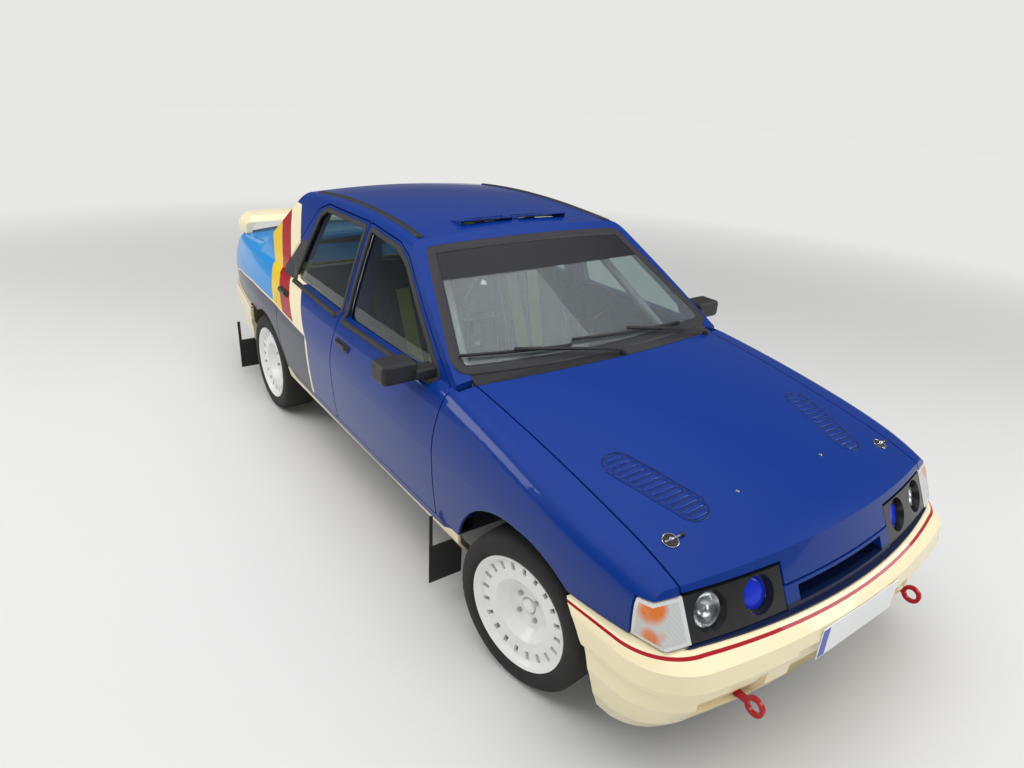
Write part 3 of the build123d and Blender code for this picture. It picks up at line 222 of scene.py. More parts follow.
def livery_paint():
    """Royal blue body with the sky, yellow, red and cream bands, and the cream line; below the line the blue
    is darkened to navy as painted reflection of the dark ground.
    """
    graph = Graph("livery")
    x, _, z = graph.axes()
    colour = (*BLUE, 1)
    bands = [(CREAM_BLUE, CREAM), (RED_CREAM, RED), (YELLOW_RED, YELLOW), (SKY_YELLOW, SKY)]
    for edge, paint in bands:
        behind = graph.under(x, graph.curve(z, edge))
        colour = graph.mix(behind, colour, paint)
    ahead = graph.over(x, CREAM_LINE_END)
    line = graph.curve(x, CREAM_LINE)
    below = graph.under(z, graph.plus(line, graph.times(ahead, -2.0)))
    gap = graph.math("ABSOLUTE", graph.minus(z, line))
    on_line = graph.under(gap, LINE_WIDTH / 2)
    on_line = graph.times(on_line, graph.minus(1.0, ahead))
    high = graph.over(z, 1.30)
    # Below the cream line the body blue is darkened to navy: painted reflection of the dark ground
    colour = graph.mix(below, colour, NAVY_AND_SHADE)
    colour = graph.mix(on_line, colour, CREAM)
    colour = graph.mix(high, colour, BLUE)
    # Nose under the lamps: navy paint, with painted shade from the lamps above
    nose = graph.over(x, 2.0)
    shade_under_lamps = graph.times(graph.under(z, UNDER_LAMPS_Z), nose)
    return coated(graph, graph.mix(shade_under_lamps, colour, NAVY_AND_SHADE)).material


def plain_paint(name, colour, dust=0.06):
    return coated(Graph(name), (*colour, 1), dust).material


def bumper_paint():
    """Cream moulding with a thin red line along its upper edge."""
    graph = Graph("bumper_cream")
    z = graph.axes()[2]
    gap = graph.math("ABSOLUTE", graph.minus(z, RED_LINE_Z))
    colour = graph.mix(graph.under(gap, RED_LINE_HALF), CREAM, RED)
    return coated(graph, colour, 0.10).material


def sill_paint():
    """Body colour over a thin cream edge, which rises in a curve before the front arch. Behind x = -0.40 the
    body blue is darkened to navy as painted reflection of the dark ground.
    """
    graph = Graph("sill")
    x, _, z = graph.axes()
    edge = graph.curve(x, SILL_EDGE)
    above = graph.over(z, edge)
    ahead = graph.over(x, -0.40)
    # Navy behind x = -0.40: painted reflection of the dark ground, as below the livery's cream line
    body = graph.mix(ahead, NAVY_AND_SHADE, BLUE)
    return coated(graph, graph.mix(above, CREAM, body)).material


def plastic(name, colour, roughness=0.55, grain=0.25, scale=900):
    graph = Graph(name)
    paler = tuple(c * 1.9 + 0.006 for c in colour)
    tone = graph.mix(graph.spread(graph.noise(6, 4), 0.0, 0.35), (*colour, 1), paler)
    graph.set(Base_Color=tone, Roughness=graph.spread(graph.noise(25, 3), roughness - 0.08, roughness + 0.1))
    return graph.bump(graph.noise(scale, 2), grain, 0.0005).material


def glass(name, tint, roughness=0.0):
    graph = Graph(name)
    graph.set(Base_Color=(*tint, 1), Roughness=roughness, IOR=1.45, Transmission_Weight=1.0)
    return graph.material


def windscreen_glass():
    """Clear screen with a dark strip across its top."""
    graph = Graph("windscreen_glass")
    _, y, z = graph.axes()
    edge = graph.plus(1.242, graph.times(graph.times(y, y), -0.03))
    strip = graph.over(z, edge)
    graph.set(Base_Color=graph.mix(strip, (0.66, 0.73, 0.75), (0.016, 0.016, 0.020)), Roughness=0.0, IOR=1.5)
    graph.set(Transmission_Weight=graph.minus(0.92, graph.times(strip, 0.85)))
    return graph.material


def metal(name, colour, roughness=0.3, scale=60):
    graph = Graph(name)
    graph.set(Base_Color=(*colour, 1), Metallic=1.0)
    graph.set(Roughness=graph.spread(graph.noise(scale, 4), roughness - 0.08, roughness + 0.15))
    return graph.bump(graph.noise(scale * 6, 2), 0.05, 0.0004).material


def cloth(name, colour):
    """Woven seat cloth: two crossed waves for the threads."""
    graph = Graph(name)
    threads = []
    for direction in ("X", "Z"):
        wave = graph.add("ShaderNodeTexWave", bands_direction=direction)
        graph.feed(wave.inputs["Scale"], 420.0)
        graph.links.new(graph.place, wave.inputs["Vector"])
        threads.append(wave.outputs["Fac"])
    weave = graph.times(threads[0], threads[1])
    tone = graph.mix(graph.spread(graph.noise(14, 4), 0, 0.5), (*colour, 1), tuple(c * 1.7 for c in colour))
    graph.set(Base_Color=tone, Roughness=0.85, Sheen_Weight=0.35)
    return graph.bump(weave, 0.35, 0.0008).material


def tyre_rubber():
    """Rubber whose tread blocks and sidewall rings are bump, from the tyre's own UV map."""
    graph = Graph("tyre_rubber")
    uv = graph.add("ShaderNodeUVMap", uv_map="UVMap").outputs[0]
    around, over, _ = graph.axes(uv)
    crown = graph.under(graph.math("ABSOLUTE", graph.minus(over, 0.5)), 0.235)
    slant = graph.times(graph.math("ABSOLUTE", graph.minus(over, 0.5)), 9.0)
    row = graph.math("FRACT", graph.plus(graph.times(around, 54.0), slant))
    block = graph.over(row, 0.27)
    rib = graph.over(graph.math("FRACT", graph.times(over, 15.0)), 0.22)
    tread = graph.times(block, rib)
    ring = graph.math("SINE", graph.times(over, 260.0))
    side = graph.times(graph.times(ring, 0.06), graph.minus(1.0, crown))
    height = graph.plus(graph.times(tread, crown), side)
    dusty = graph.spread(graph.noise(12, 5), 0.0, 0.35)
    graph.set(Base_Color=graph.mix(dusty, (0.011, 0.011, 0.012), (0.045, 0.042, 0.036)), Roughness=0.78)
    return graph.bump(height, 0.9, 0.006).material


def corner_glass():
    """Clear ribbed lens with the amber lamps glowing through it in two places."""
    graph = Graph("corner_glass")
    x, y, z = graph.axes()
    amber = 0.0
    for place, size in (((2.000, 0.745, 0.697), 0.050), ((2.020, 0.745, 0.622), 0.042)):
        terms = []
        for axis, centre in zip((x, graph.math("ABSOLUTE", y), z), place):
            off = graph.minus(axis, centre)
            terms.append(graph.times(off, off))
        distance = graph.math("SQRT", graph.plus(graph.plus(terms[0], terms[1]), terms[2]))
        spot = graph.minus(1.0, graph.math("DIVIDE", distance, size), clamp=True)
        amber = graph.plus(amber, graph.times(spot, 2.6), clamp=True)
    rim = graph.over(graph.math("ABSOLUTE", graph.minus(z, 0.661)), 0.054)
    side = graph.under(graph.math("ABSOLUTE", y), 0.678)
    rim = graph.math("MAXIMUM", rim, graph.math("MAXIMUM", side, graph.under(x, 1.974)))
    tint = graph.mix(amber, (0.66, 0.68, 0.66), (0.86, 0.20, 0.02))
    graph.set(Base_Color=graph.mix(rim, tint, (0.80, 0.82, 0.82)), Roughness=0.12, IOR=1.49)
    graph.set(Coat_Weight=1.0, Coat_Roughness=0.02)
    headlamp = graph.under(graph.math("ABSOLUTE", y), 0.64)
    graph.set(Transmission_Weight=graph.plus(0.25, graph.times(headlamp, 0.75)))
    ribs = graph.math("SINE", graph.times(graph.plus(x, graph.math("ABSOLUTE", y)), 620.0))
    ribs = graph.times(ribs, graph.minus(1.0, headlamp))
    return graph.bump(ribs, 0.35, 0.0012).material


def perforated():
    """Black cowl with its field of small round holes, painted as near-black painted shade with a bump."""
    graph = Graph("cowl_black")
    x, y, _ = graph.axes()
    field = graph.math("SINE", graph.times(x, 700.0))
    field = graph.times(field, graph.math("SINE", graph.times(y, 700.0)))
    hole = graph.over(field, 0.15)
    bow = graph.times(graph.times(y, y), 0.21)
    ahead = graph.over(graph.plus(x, bow), 0.985)
    right = graph.under(y, 0.02)
    hole = graph.times(hole, graph.times(ahead, right))
    # The holes are painted shade: near black where the dark inside would show
    graph.set(Base_Color=graph.mix(hole, (0.030, 0.030, 0.032), (0.001, 0.001, 0.001)), Roughness=0.5)
    return graph.bump(graph.minus(1.0, hole), 0.8, 0.002).material


MATERIAL = {
    "livery": livery_paint(),
    "blue": plain_paint("body_blue", BLUE),
    "bumper": bumper_paint(),
    "cream": plain_paint("cream", CREAM, 0.10),
    "sill": sill_paint(),
    "white": plain_paint("wheel_white", (0.78, 0.78, 0.76), 0.10),
    "cabin": plain_paint("cabin_grey", (0.42, 0.45, 0.45), 0.0),
    # Underseal on the floor pan; the same dark material is painted shade in the bonnet louvres' openings and
    # grooves
    "under": plastic("underseal_and_shade", (0.010, 0.012, 0.020), 0.7, 0.5, 300),
    "black": plastic("black_plastic", (0.016, 0.016, 0.017), 0.5),
    "rubber": plastic("seal_rubber", (0.014, 0.014, 0.015), 0.62, 0.12),
    "screen_rubber": plastic("screen_rubber", (0.020, 0.020, 0.024), 0.5, 0.12),
    "gloss_black": plastic("lamp_black", (0.010, 0.010, 0.011), 0.18, 0.02),
    "red": plain_paint("tow_red", (0.42, 0.008, 0.015), 0.0),
    "red_lens": plastic("red_lens", (0.36, 0.010, 0.008), 0.12, 0.02),
    "iron": metal("cast_iron", (0.12, 0.12, 0.125), 0.5),
    "steel": metal("steel", (0.50, 0.50, 0.51), 0.3),
    "chrome": metal("chrome", (0.85, 0.86, 0.88), 0.09, 8),
    "side_glass": glass("side_glass", (0.50, 0.60, 0.58)),
    "screen": windscreen_glass(),
    "lens": glass("lamp_lens", (0.95, 0.97, 0.97)),
    "corner": corner_glass(),
    "cowl": perforated(),
    "tyre": tyre_rubber(),
    "seat_shell": plastic("seat_shell", (0.020, 0.021, 0.024), 0.35, 0.1),
    "seat_cloth": cloth("seat_cloth", (0.020, 0.030, 0.085)),
    "harness": cloth("harness_web", (0.52, 0.50, 0.10)),
    "leather": plastic("wheel_leather", (0.014, 0.013, 0.013), 0.6, 0.3, 500),
    "lamp_blue": plain_paint("lamp_blue", (0.010, 0.030, 0.55), 0.0),
    "plate_white": plain_paint("plate_white", (0.78, 0.80, 0.80), 0.0),
    "plate_blue": plain_paint("plate_blue", (0.012, 0.05, 0.42), 0.0),
}

NODE_MATERIAL = {
    "livery": ["bonnet", "boot_lid", "door_front_right", "door_front_left", "door_rear_right",
               "door_rear_left", "front_wings", "nose_panel", "rear_panel", "rear_shelf",
               "roof_panel", "side_frame_left", "side_frame_right"],
    "bumper": ["front_bumper", "rear_bumper"],
    "cream": ["rear_spoiler"],
    "sill": ["sill_skirts"],
    "cowl": ["cowl_panel"],
    "black": ["dashboard", "mirror_left", "mirror_right", "wipers"],
    "rubber": ["mud_flaps"],
    "under": ["floor_pan"],
    "iron": ["drivetrain", "engine", "knuckle_left", "knuckle_right", "front_suspension", "rear_suspension"],
    "steel": ["exhaust"],
    "gloss_black": ["headlamp_units"],
    "red_lens": ["tail_lamps"],
    "red": ["tow_eyes"],
    "cabin": ["roll_cage"],
    "seat_shell": ["seats"],
    "leather": ["steering_wheel"],
    "screen": ["windscreen"],
    "side_glass": ["rear_window"] + ["window_" + corner for corner in WHEELS],
    "white": ["rim_" + corner for corner in WHEELS],
    "corner": ["lamp_glasses"],
}


def dress_nodes():
    for key, names in NODE_MATERIAL.items():
        for name in names:
            if name in NODES:
                materials = NODES[name].data.materials
                materials.clear()
                materials.append(MATERIAL[key])


def add_mesh(name, points, faces, material, body, smooth=True, clean=True):
    mesh = bpy.data.meshes.new(name)
    mesh.from_pydata([tuple(p) for p in points], [], faces)
    if clean:
        work = bmesh.new()
        work.from_mesh(mesh)
        bmesh.ops.remove_doubles(work, verts=work.verts, dist=1e-6)
        bmesh.ops.recalc_face_normals(work, faces=work.faces)
        work.to_mesh(mesh)
        work.free()
    mesh.polygons.foreach_set("use_smooth", [smooth] * len(mesh.polygons))
    mesh.update()
    mesh.materials.append(MATERIAL[material])
    piece = bpy.data.objects.new(name, mesh)
    bpy.context.scene.collection.objects.link(piece)
    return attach(piece, body)


def add_pair(name, points, faces, material, body, smooth=True):
    """Right-hand piece and its mirror image. body holds {} where the side's name goes."""
    right = add_mesh(name + "_right", points, faces, material, body.format("right"), smooth)
    mirrored = [(p[0], -p[1], p[2]) for p in points]
    turned = [tuple(reversed(face)) for face in faces]
    left = add_mesh(name + "_left", mirrored, turned, material, body.format("left"), smooth)
    return right, left


def surface(*names):
    """Search tree over the meshes of some nodes."""
    points, faces = [], []
    for name in names:
        mesh = NODES[name].data
        start = len(points)
        points += [vertex.co.copy() for vertex in mesh.vertices]
        faces += [[start + i for i in polygon.vertices] for polygon in mesh.polygons]
    return BVHTree.FromPolygons(points, faces)


SIDE = surface("side_frame_right", "door_front_right", "door_rear_right", "window_front_right",
               "window_rear_right", "front_wings", "sill_skirts")
TOP = surface("bonnet", "roof_panel", "boot_lid", "rear_shelf", "cowl_panel", "front_wings",
              "side_frame_right", "side_frame_left")
SCREEN = surface("windscreen", "side_frame_right", "side_frame_left", "roof_panel", "cowl_panel")
BACK = surface("rear_window", "side_frame_right", "side_frame_left", "roof_panel", "rear_shelf")


def cast(tree, start, way):
    hit, normal, _, _ = tree.ray_cast(Vector(start), Vector(way))
    if hit is None:
        return None
    if normal.dot(Vector(way)) > 0:
        normal = -normal
    return hit, normal


def on_side(x, z):
    return cast(SIDE, (x, -1.4, z), (0, 1, 0))


def on_top(x, y):
    return cast(TOP, (x, y, 1.8), (0, 0, -1))


def on_screen(y, z):
    return cast(SCREEN, (2.0, y, z), (-1, 0, 0))


def on_back(y, z):
    return cast(BACK, (-2.6, y, z), (1, 0, 0))


def corner_path(points, closed=True, step=0.03):
    """Points along an outline whose corners, given as (a, b, radius), are rounded."""
    path = []
    count = len(points)
    for i, (a, b, radius) in enumerate(points):
        here = Vector((a, b))
        if not closed and i in (0, count - 1) or radius <= 0:
            path.append(here)
            continue
        before = (Vector(points[i - 1][:2]) - here)
        after = (Vector(points[(i + 1) % count][:2]) - here)
        reach = min(radius / math.tan(before.angle(after) / 2), 0.48 * before.length, 0.48 * after.length)
        start, stop = here + before.normalized() * reach, here + after.normalized() * reach
        for k in range(6):
            t = k / 5
            path.append(start * (1 - t) ** 2 + here * 2 * t * (1 - t) + stop * t**2)
    run = []
    last = len(path) if closed else len(path) - 1
    for i in range(last):
        p, q = path[i], path[(i + 1) % len(path)]
        pieces = max(1, int((q - p).length / step))
        run += [p.lerp(q, k / pieces) for k in range(pieces)]
    if not closed:
        run.append(path[-1])
    return run


def grown(points, by):
    """Closed outline moved outwards. by is negative to move it inwards."""
    area = sum(p[0] * q[1] - q[0] * p[1] for p, q in zip(points, points[1:] + points[:1]))
    turn = 1 if area > 0 else -1
    moved = []
    for i, (a, b, radius) in enumerate(points):
        here = Vector((a, b))
        before = (here - Vector(points[i - 1][:2])).normalized()
        after = (Vector(points[(i + 1) % len(points)][:2]) - here).normalized()
        out_before, out_after = Vector((before.y, -before.x)) * turn, Vector((after.y, -after.x)) * turn
        middle = (out_before + out_after).normalized()
        here = here + middle * (by / max(0.3, middle.dot(out_before)))
        moved.append((here.x, here.y, radius + by if radius else 0))
    return moved


def sweep(path, normals, profile, closed=False):
    """Section drawn along a path. profile is a closed list of (across, up)."""
    points, faces = [], []
    count, width = len(path), len(profile)
    for i, here in enumerate(path):
        before = path[i - 1] if closed or i > 0 else here
        after = path[(i + 1) % count] if closed or i < count - 1 else here
        along = (after - before).normalized()
        up = (normals[i] - along * normals[i].dot(along)).normalized()
        across = along.cross(up)
        points += [here + across * a + up * b for a, b in profile]
    for i in range(count if closed else count - 1):
        near, far = i * width, (i + 1) % count * width
        for k in range(width):
            m = (k + 1) % width
            faces.append((near + k, far + k, far + m, near + m))
    if not closed:
        faces.append(tuple(range(width)))
        faces.append(tuple(reversed(range((count - 1) * width, count * width))))
    return points, faces


def strip_profile(width, height, sunk=0.004):
    """Low rounded section of a rubber or moulding."""
    half = width / 2
    return [(-half, -sunk), (half, -sunk), (half, height * 0.55), (half * 0.6, height), (-half * 0.6, height),
            (-half, height * 0.55)]


def projected(path, hit, closed=True):
    """3-D points and smoothed normals of a 2-D path on a surface. Misses are left out."""
    found = [spot for spot in (hit(*p) for p in path) if spot]
    places = [spot[0] for spot in found]
    count = len(found)
    normals = []
    for i in range(count):
        near = [found[k % count if closed else min(max(k, 0), count - 1)][1] for k in range(i - 2, i + 3)]
        normals.append(sum(near, Vector()).normalized())
    return places, normals


def box_mesh(low, high, taper=0.0):
    """Box between two corners, its top drawn in by taper."""
    (x0, y0, z0), (x1, y1, z1) = low, high
    points = [(x0, y0, z0), (x1, y0, z0), (x1, y1, z0), (x0, y1, z0),
              (x0 + taper, y0 + taper, z1), (x1 - taper, y0 + taper, z1),
              (x1 - taper, y1 - taper, z1), (x0 + taper, y1 - taper, z1)]
    faces = [(3, 2, 1, 0), (4, 5, 6, 7), (0, 1, 5, 4), (1, 2, 6, 5), (2, 3, 7, 6), (3, 0, 4, 7)]
    return points, faces


def lathe(outline, steps=32):
    """Surface turned about the local Z axis from (radius, height) points."""
    points, faces = [], []
    for i in range(steps):
        turn = 2 * math.pi * i / steps
        points += [Vector((r * math.cos(turn), r * math.sin(turn), h)) for r, h in outline]
    width = len(outline)
    for i in range(steps):
        near, far = i * width, (i + 1) % steps * width
        for k in range(width - 1):
            faces.append((near + k, far + k, far + k + 1, near + k + 1))
    return points, faces


def stand(points, place, normal, spin=0.0):
    """Local points moved to a place, with local Z along normal."""
    up = Vector(normal).normalized()
    side = Vector((0, 0, 1)).cross(up) if abs(up.z) < 0.95 else Vector((0, 1, 0))
    side = (side - up * side.dot(up)).normalized()
    matrix = Matrix((side, up.cross(side), up)).transposed() @ Matrix.Rotation(spin, 3, "Z")
    return [Vector(place) + matrix @ Vector(p) for p in points]


def soften(piece, width=0.002, segments=2):
    bevel = piece.modifiers.new("edges", "BEVEL")
    bevel.width, bevel.segments, bevel.limit_method = width, segments, "ANGLE"
    return piece


def window_rubbers():
    for name, outline in (("front", FRONT_GLASS), ("rear", REAR_GLASS)):
        path = corner_path(grown(outline, 0.010))
        places, normals = projected(path, on_side)
        points, faces = sweep(places, normals, strip_profile(0.026, 0.004, 0.010), closed=True)
        add_pair("window_rubber_" + name, points, faces, "rubber", "door_" + name + "_{}")
        front, rear = [Vector((x, z - 0.012)) for x, z, _ in (outline[0], outline[-1])]
        run = [front + (rear - front) * k / 20 for k in range(21)]
        places, normals = projected(run, on_side, closed=False)
        points, faces = sweep(places, normals, strip_profile(0.022, 0.007))
        add_pair("belt_rubber_" + name, points, faces, "rubber", "door_" + name + "_{}")


def door_triangles():
    """Black panel behind the rear door's glass."""
    outline = [(-0.738, 0.940, 0.004), (-0.925, 0.938, 0.010), (-0.905, 0.985, 0.030), (-0.790, 1.135, 0.02),
               (-0.700, 1.160, 0.02)]
    path = corner_path(outline, step=0.02)
    places, normals = projected(path, on_side)
    middle = on_side(-0.80, 1.02)
    points = [place + normal * 0.003 for place, normal in zip(places, normals)]
    points.append(middle[0] + middle[1] * 0.003)
    points += [place - normal * 0.003 for place, normal in zip(places, normals)]
    count = len(places)
    faces = [((i + 1) % count, i, count) for i in range(count)]
    faces += [(i, (i + 1) % count, count + 1 + (i + 1) % count, count + 1 + i) for i in range(count)]
    add_pair("door_triangle", points, faces, "black", "door_rear_{}", smooth=False)


def screen_outline(low, high, crown, by=0.0):
    (y0, z0), (y1, z1) = low, high
    top = [(-y1 + 2 * y1 * k / 8, z1 + crown * (1 - (2 * k / 8 - 1) ** 2)) for k in range(9)]
    points = [(-y0, z0, 0.036)] + [(top[0][0], top[0][1], 0.036)]
    points += [(a, b, 0.0) for a, b in top[1:-1]] + [(top[-1][0], top[-1][1], 0.036), (y0, z0, 0.036)]
    return grown(points, by)


def screen_rubbers():
    jobs = (("screen_rubber", SCREEN_LOW, SCREEN_HIGH, on_screen, "screen_rubber", 0.046, 0.004, -0.004),
            ("backlight_rubber", BACK_LOW, BACK_HIGH, on_back, "rubber", 0.030, 0.004, 0.002))
    for name, low, high, hit, material, width, height, by in jobs:
        path = corner_path(screen_outline(low, high, SCREEN_CROWN, by), step=0.04)
        places, normals = projected(path, hit)
        points, faces = sweep(places, normals, strip_profile(width, height, 0.008), closed=True)
        add_mesh(name, points, faces, material, "body")


def roof_mouldings():
    """Black moulding from the screen's top corner along the roof and down the rear window's side."""
    roof = [(0.30, -0.545), (0.10, -0.533), (-0.25, -0.528), (-0.60, -0.528), (-0.86, -0.536)]
    run = corner_path([(a, b, 0.0) for a, b in roof], closed=False, step=0.05)
    places, normals = projected(run, on_top, closed=False)
    points, faces = sweep(places, normals, strip_profile(0.030, 0.007))
    add_pair("roof_moulding", points, faces, "black", "body")
    edge = [(-0.548, 1.338), (-0.570, 1.290), (-0.630, 1.110), (-0.688, 0.955)]
    run = corner_path([(a, b, 0.0) for a, b in edge], closed=False, step=0.04)
    places, normals = projected(run, on_back, closed=False)
    points, faces = sweep(places, normals, strip_profile(0.026, 0.007))
    add_pair("rear_pillar_moulding", points, faces, "black", "body")


def wheel_matrix(corner):
    """Place of a wheel: local Y along its axle, to the car's left."""
    joint = next(j for j in frame["joints"] if j["name"] == "roll_" + corner)
    along = Vector(joint["axis"]).normalized()
    up = Vector((0, 0, 1))
    up = (up - along * up.dot(along)).normalized()
    matrix = Matrix((along.cross(up), along, up)).transposed().to_4x4()
    matrix.translation = Vector(joint["pos_m"])
    return matrix


# Half of the tyre's section, (across, radius), from the inner bead to the middle of the tread
TYRE_SECTION = [(-0.083, 0.2035), (-0.0862, 0.2215), (-0.1000, 0.2225), (-0.1060, 0.240), (-0.1068, 0.258),
                (-0.1030, 0.276), (-0.0985, 0.2862), (-0.0885, 0.2950), (-0.045, 0.2987), (0.0, 0.2999)]
TYRE_STEPS = 46


def tyres():
    """Light tyre meshes with a UV map for the tread's bump."""
    section = TYRE_SECTION + [(-across, radius) for across, radius in reversed(TYRE_SECTION[:-1])]
    width = len(section)
    for corner in WHEELS:
        matrix = wheel_matrix(corner)
        points = []
        for i in range(TYRE_STEPS):
            turn = 2 * math.pi * i / TYRE_STEPS
            points += [matrix @ Vector((r * math.sin(turn), y, r * math.cos(turn))) for y, r in section]
        faces, corners = [], []
        for i in range(TYRE_STEPS):
            near, far = i * width, (i + 1) % TYRE_STEPS * width
            for k in range(width):
                m = (k + 1) % width
                faces.append((near + k, near + m, far + m, far + k))
                low, high = k / (width - 1), min(1.0, (k + 1) / (width - 1))
                corners += [(i / TYRE_STEPS, low), (i / TYRE_STEPS, high), ((i + 1) / TYRE_STEPS, high),
                            ((i + 1) / TYRE_STEPS, low)]
        piece = add_mesh("tyre_tread_" + corner, points, faces, "tyre", "wheel_" + corner, clean=False)
        layer = piece.data.uv_layers.new(name="UVMap")
        for loop, spot in zip(layer.data, corners):
            loop.uv = spot
        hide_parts("tyre_" + corner)


def wheel_trim():
    """Hub cap, nuts and brake disc of each wheel."""
    cap = [(0.0, 0.012), (0.016, 0.011), (0.026, 0.007), (0.029, 0.0), (0.029, -0.02)]
    nut = [(0.0, 0.016), (0.008, 0.015), (0.0095, 0.011), (0.0095, -0.004)]
    disc = [(0.060, 0.0), (0.112, 0.0), (0.112, -0.010), (0.060, -0.010)]
    for corner in WHEELS:
        out = -1 if corner.endswith("right") else 1
        matrix = wheel_matrix(corner)

        def placed(shape, y, x=0.0, z=0.0, steps=24):
            points, faces = lathe(shape, steps)
            turned = [matrix @ Vector((p[0] + x, out * (y + p[2]), p[1] + z)) for p in points]
            return turned, (faces if out > 0 else [tuple(reversed(f)) for f in faces])

        points, faces = placed(cap, 0.034)
        add_mesh("hub_cap_" + corner, points, faces, "white", "wheel_" + corner)
        points, faces = [], []
        for k in range(4):
            turn = math.radians(90 * k + 45)
            ring, quads = placed(nut, 0.032, 0.054 * math.sin(turn), 0.054 * math.cos(turn), 12)
            faces += [tuple(i + len(points) for i in quad) for quad in quads]
            points += ring
        add_mesh("wheel_nuts_" + corner, points, faces, "steel", "wheel_" + corner, smooth=False)
        points, faces = placed(disc, -0.020, steps=40)
        add_mesh("brake_disc_" + corner, points, faces, "steel", "wheel_" + corner, smooth=False)


LAMP_Y, LAMP_Z, LAMP_DEPTH = (0.399, 0.580), 0.667, 0.026
NOSE_X, NOSE_Z, NOSE_LEAN, NOSE_SAG, NOSE_SAG_Y = 2.175, 0.583, 0.48, 0.058, 0.580


def lamps():
    """Blue disc over the inner lens, reflector behind the outer one and a domed glass before it."""
    inner, outer = LAMP_Y
    pieces = (
        ("lamp_disc", inner, "lamp_blue", [(0.0, 0.004), (0.030, 0.0035), (0.0495, 0.001), (0.0515, -0.002)]),
        ("lamp_lens", outer, "lens", [(0.0, 0.013), (0.020, 0.0115), (0.038, 0.007), (0.0520, 0.0)]),
        ("lamp_reflector", outer, "chrome",
         [(0.0, -0.046), (0.012, -0.045), (0.030, -0.037), (0.045, -0.024), (0.052, -0.0155)]),
        ("lamp_bulb", outer, "steel", [(0.0, -0.018), (0.009, -0.019), (0.010, -0.024), (0.008, -0.042)]),
    )
    for name, y, material, outline in pieces:
        face = NOSE_X - NOSE_LEAN * (LAMP_Z - NOSE_Z) - NOSE_SAG * (y / NOSE_SAG_Y) ** 2
        mouth = Vector((face, -y, LAMP_Z))
        facing = Vector((1, -2 * NOSE_SAG * y / NOSE_SAG_Y**2, NOSE_LEAN)).normalized()
        points, faces = lathe(outline, 36)
        add_pair(name, stand(points, mouth - facing * LAMP_DEPTH, facing), faces, material, "body")


PLATE_FACE = 2.2394


def number_plate():
    """Blank plate with a blue end band."""
    height, low = 0.118, 0.426
    pieces = (("plate", "plate_white", -0.221, 0.221), ("plate_band", "plate_blue", -0.218, -0.180))
    for name, material, y0, y1 in pieces:
        ahead = 0.0 if name == "plate" else 0.0005
        points = []
        for y in (y0, y1):
            for z in (low, low + height) if name == "plate" else (low + 0.004, low + height - 0.004):
                points.append((PLATE_FACE + ahead, y, z))
        back = [(p[0] - 0.003, p[1], p[2]) for p in points]
        faces = [(0, 2, 3, 1), (4, 5, 7, 6), (0, 1, 5, 4), (2, 6, 7, 3), (0, 4, 6, 2), (1, 3, 7, 5)]
        soften(add_mesh(name, points + back, faces, material, "body", smooth=False), 0.0015)


def handle_parts():
    """Black flap handles on the four doors."""
    for name, x, z in (("front", 0.055, 0.832), ("rear", -0.805, 0.856)):
        spot, normal = on_side(x, z)
        door = "door_" + name + "_{}"
        points, faces = box_mesh((-0.072, -0.020, -0.004), (0.072, 0.020, 0.010), 0.006)
        placed = stand(points, spot, normal)
        for piece in add_pair("handle_plate_" + name, placed, faces, "black", door, False):
            soften(piece, 0.003)
        points, faces = box_mesh((-0.058, -0.012, 0.008), (0.058, 0.014, 0.020), 0.004)
        placed = stand(points, spot, normal)
        for piece in add_pair("handle_flap_" + name, placed, faces, "gloss_black", door, False):
            soften(piece, 0.003)


CLIP_TURN = 0.05


def bonnet_fittings():
    """Pin catches, each with a dark plate, a ring and a spring clip, and two rivets."""
    turns = [2 * math.pi * k / 28 for k in range(28)]
    circle = [(math.cos(turn), math.sin(turn)) for turn in turns]
    sixths = [2 * math.pi * k / 6 for k in range(6)]
    wire = [(0.0014 * math.cos(turn), 0.0014 * math.sin(turn)) for turn in sixths]
    for side in (-1, 1):
        name = "left" if side > 0 else "right"
        spot, normal = on_top(1.899, side * 0.586)
        points, faces = lathe([(0.0265, -0.001), (0.0265, 0.0015), (0.018, 0.0045), (0.0, 0.005)], 28)
        add_mesh("catch_plate_" + name, stand(points, spot, normal), faces, "black", "bonnet")
        ring = stand([Vector((0.0255 * a, 0.0255 * b, 0.0025)) for a, b in circle], spot, normal)
        points, faces = sweep(ring, [Vector(normal)] * len(ring), wire, closed=True)
        add_mesh("catch_rim_" + name, points, faces, "chrome", "bonnet")
        points, faces = lathe([(0.0065, 0.0), (0.0065, 0.013), (0.005, 0.015), (0.0, 0.0155)], 16)
        add_mesh("catch_pin_" + name, stand(points, spot, normal), faces, "chrome", "bonnet")
        points, faces = box_mesh((-0.022, -0.0035, 0.0065), (0.040, 0.0035, 0.0105), 0.002)
        clip = stand(points, spot, normal, CLIP_TURN * side)
        soften(add_mesh("catch_clip_" + name, clip, faces, "chrome", "bonnet", smooth=False), 0.0012)
        points, faces = box_mesh((0.034, -0.006, 0.0035), (0.056, 0.006, 0.0125), 0.003)
        grip = stand(points, spot, normal, CLIP_TURN * side)
        soften(add_mesh("catch_grip_" + name, grip, faces, "black", "bonnet", smooth=False), 0.002)
        spot, normal = on_top(1.860, side * 0.235)
        points, faces = lathe([(0.007, 0.0), (0.007, 0.002), (0.004, 0.004), (0.0, 0.0045)], 14)
        add_mesh("bonnet_rivet_" + name, stand(points, spot, normal), faces, "steel", "bonnet")


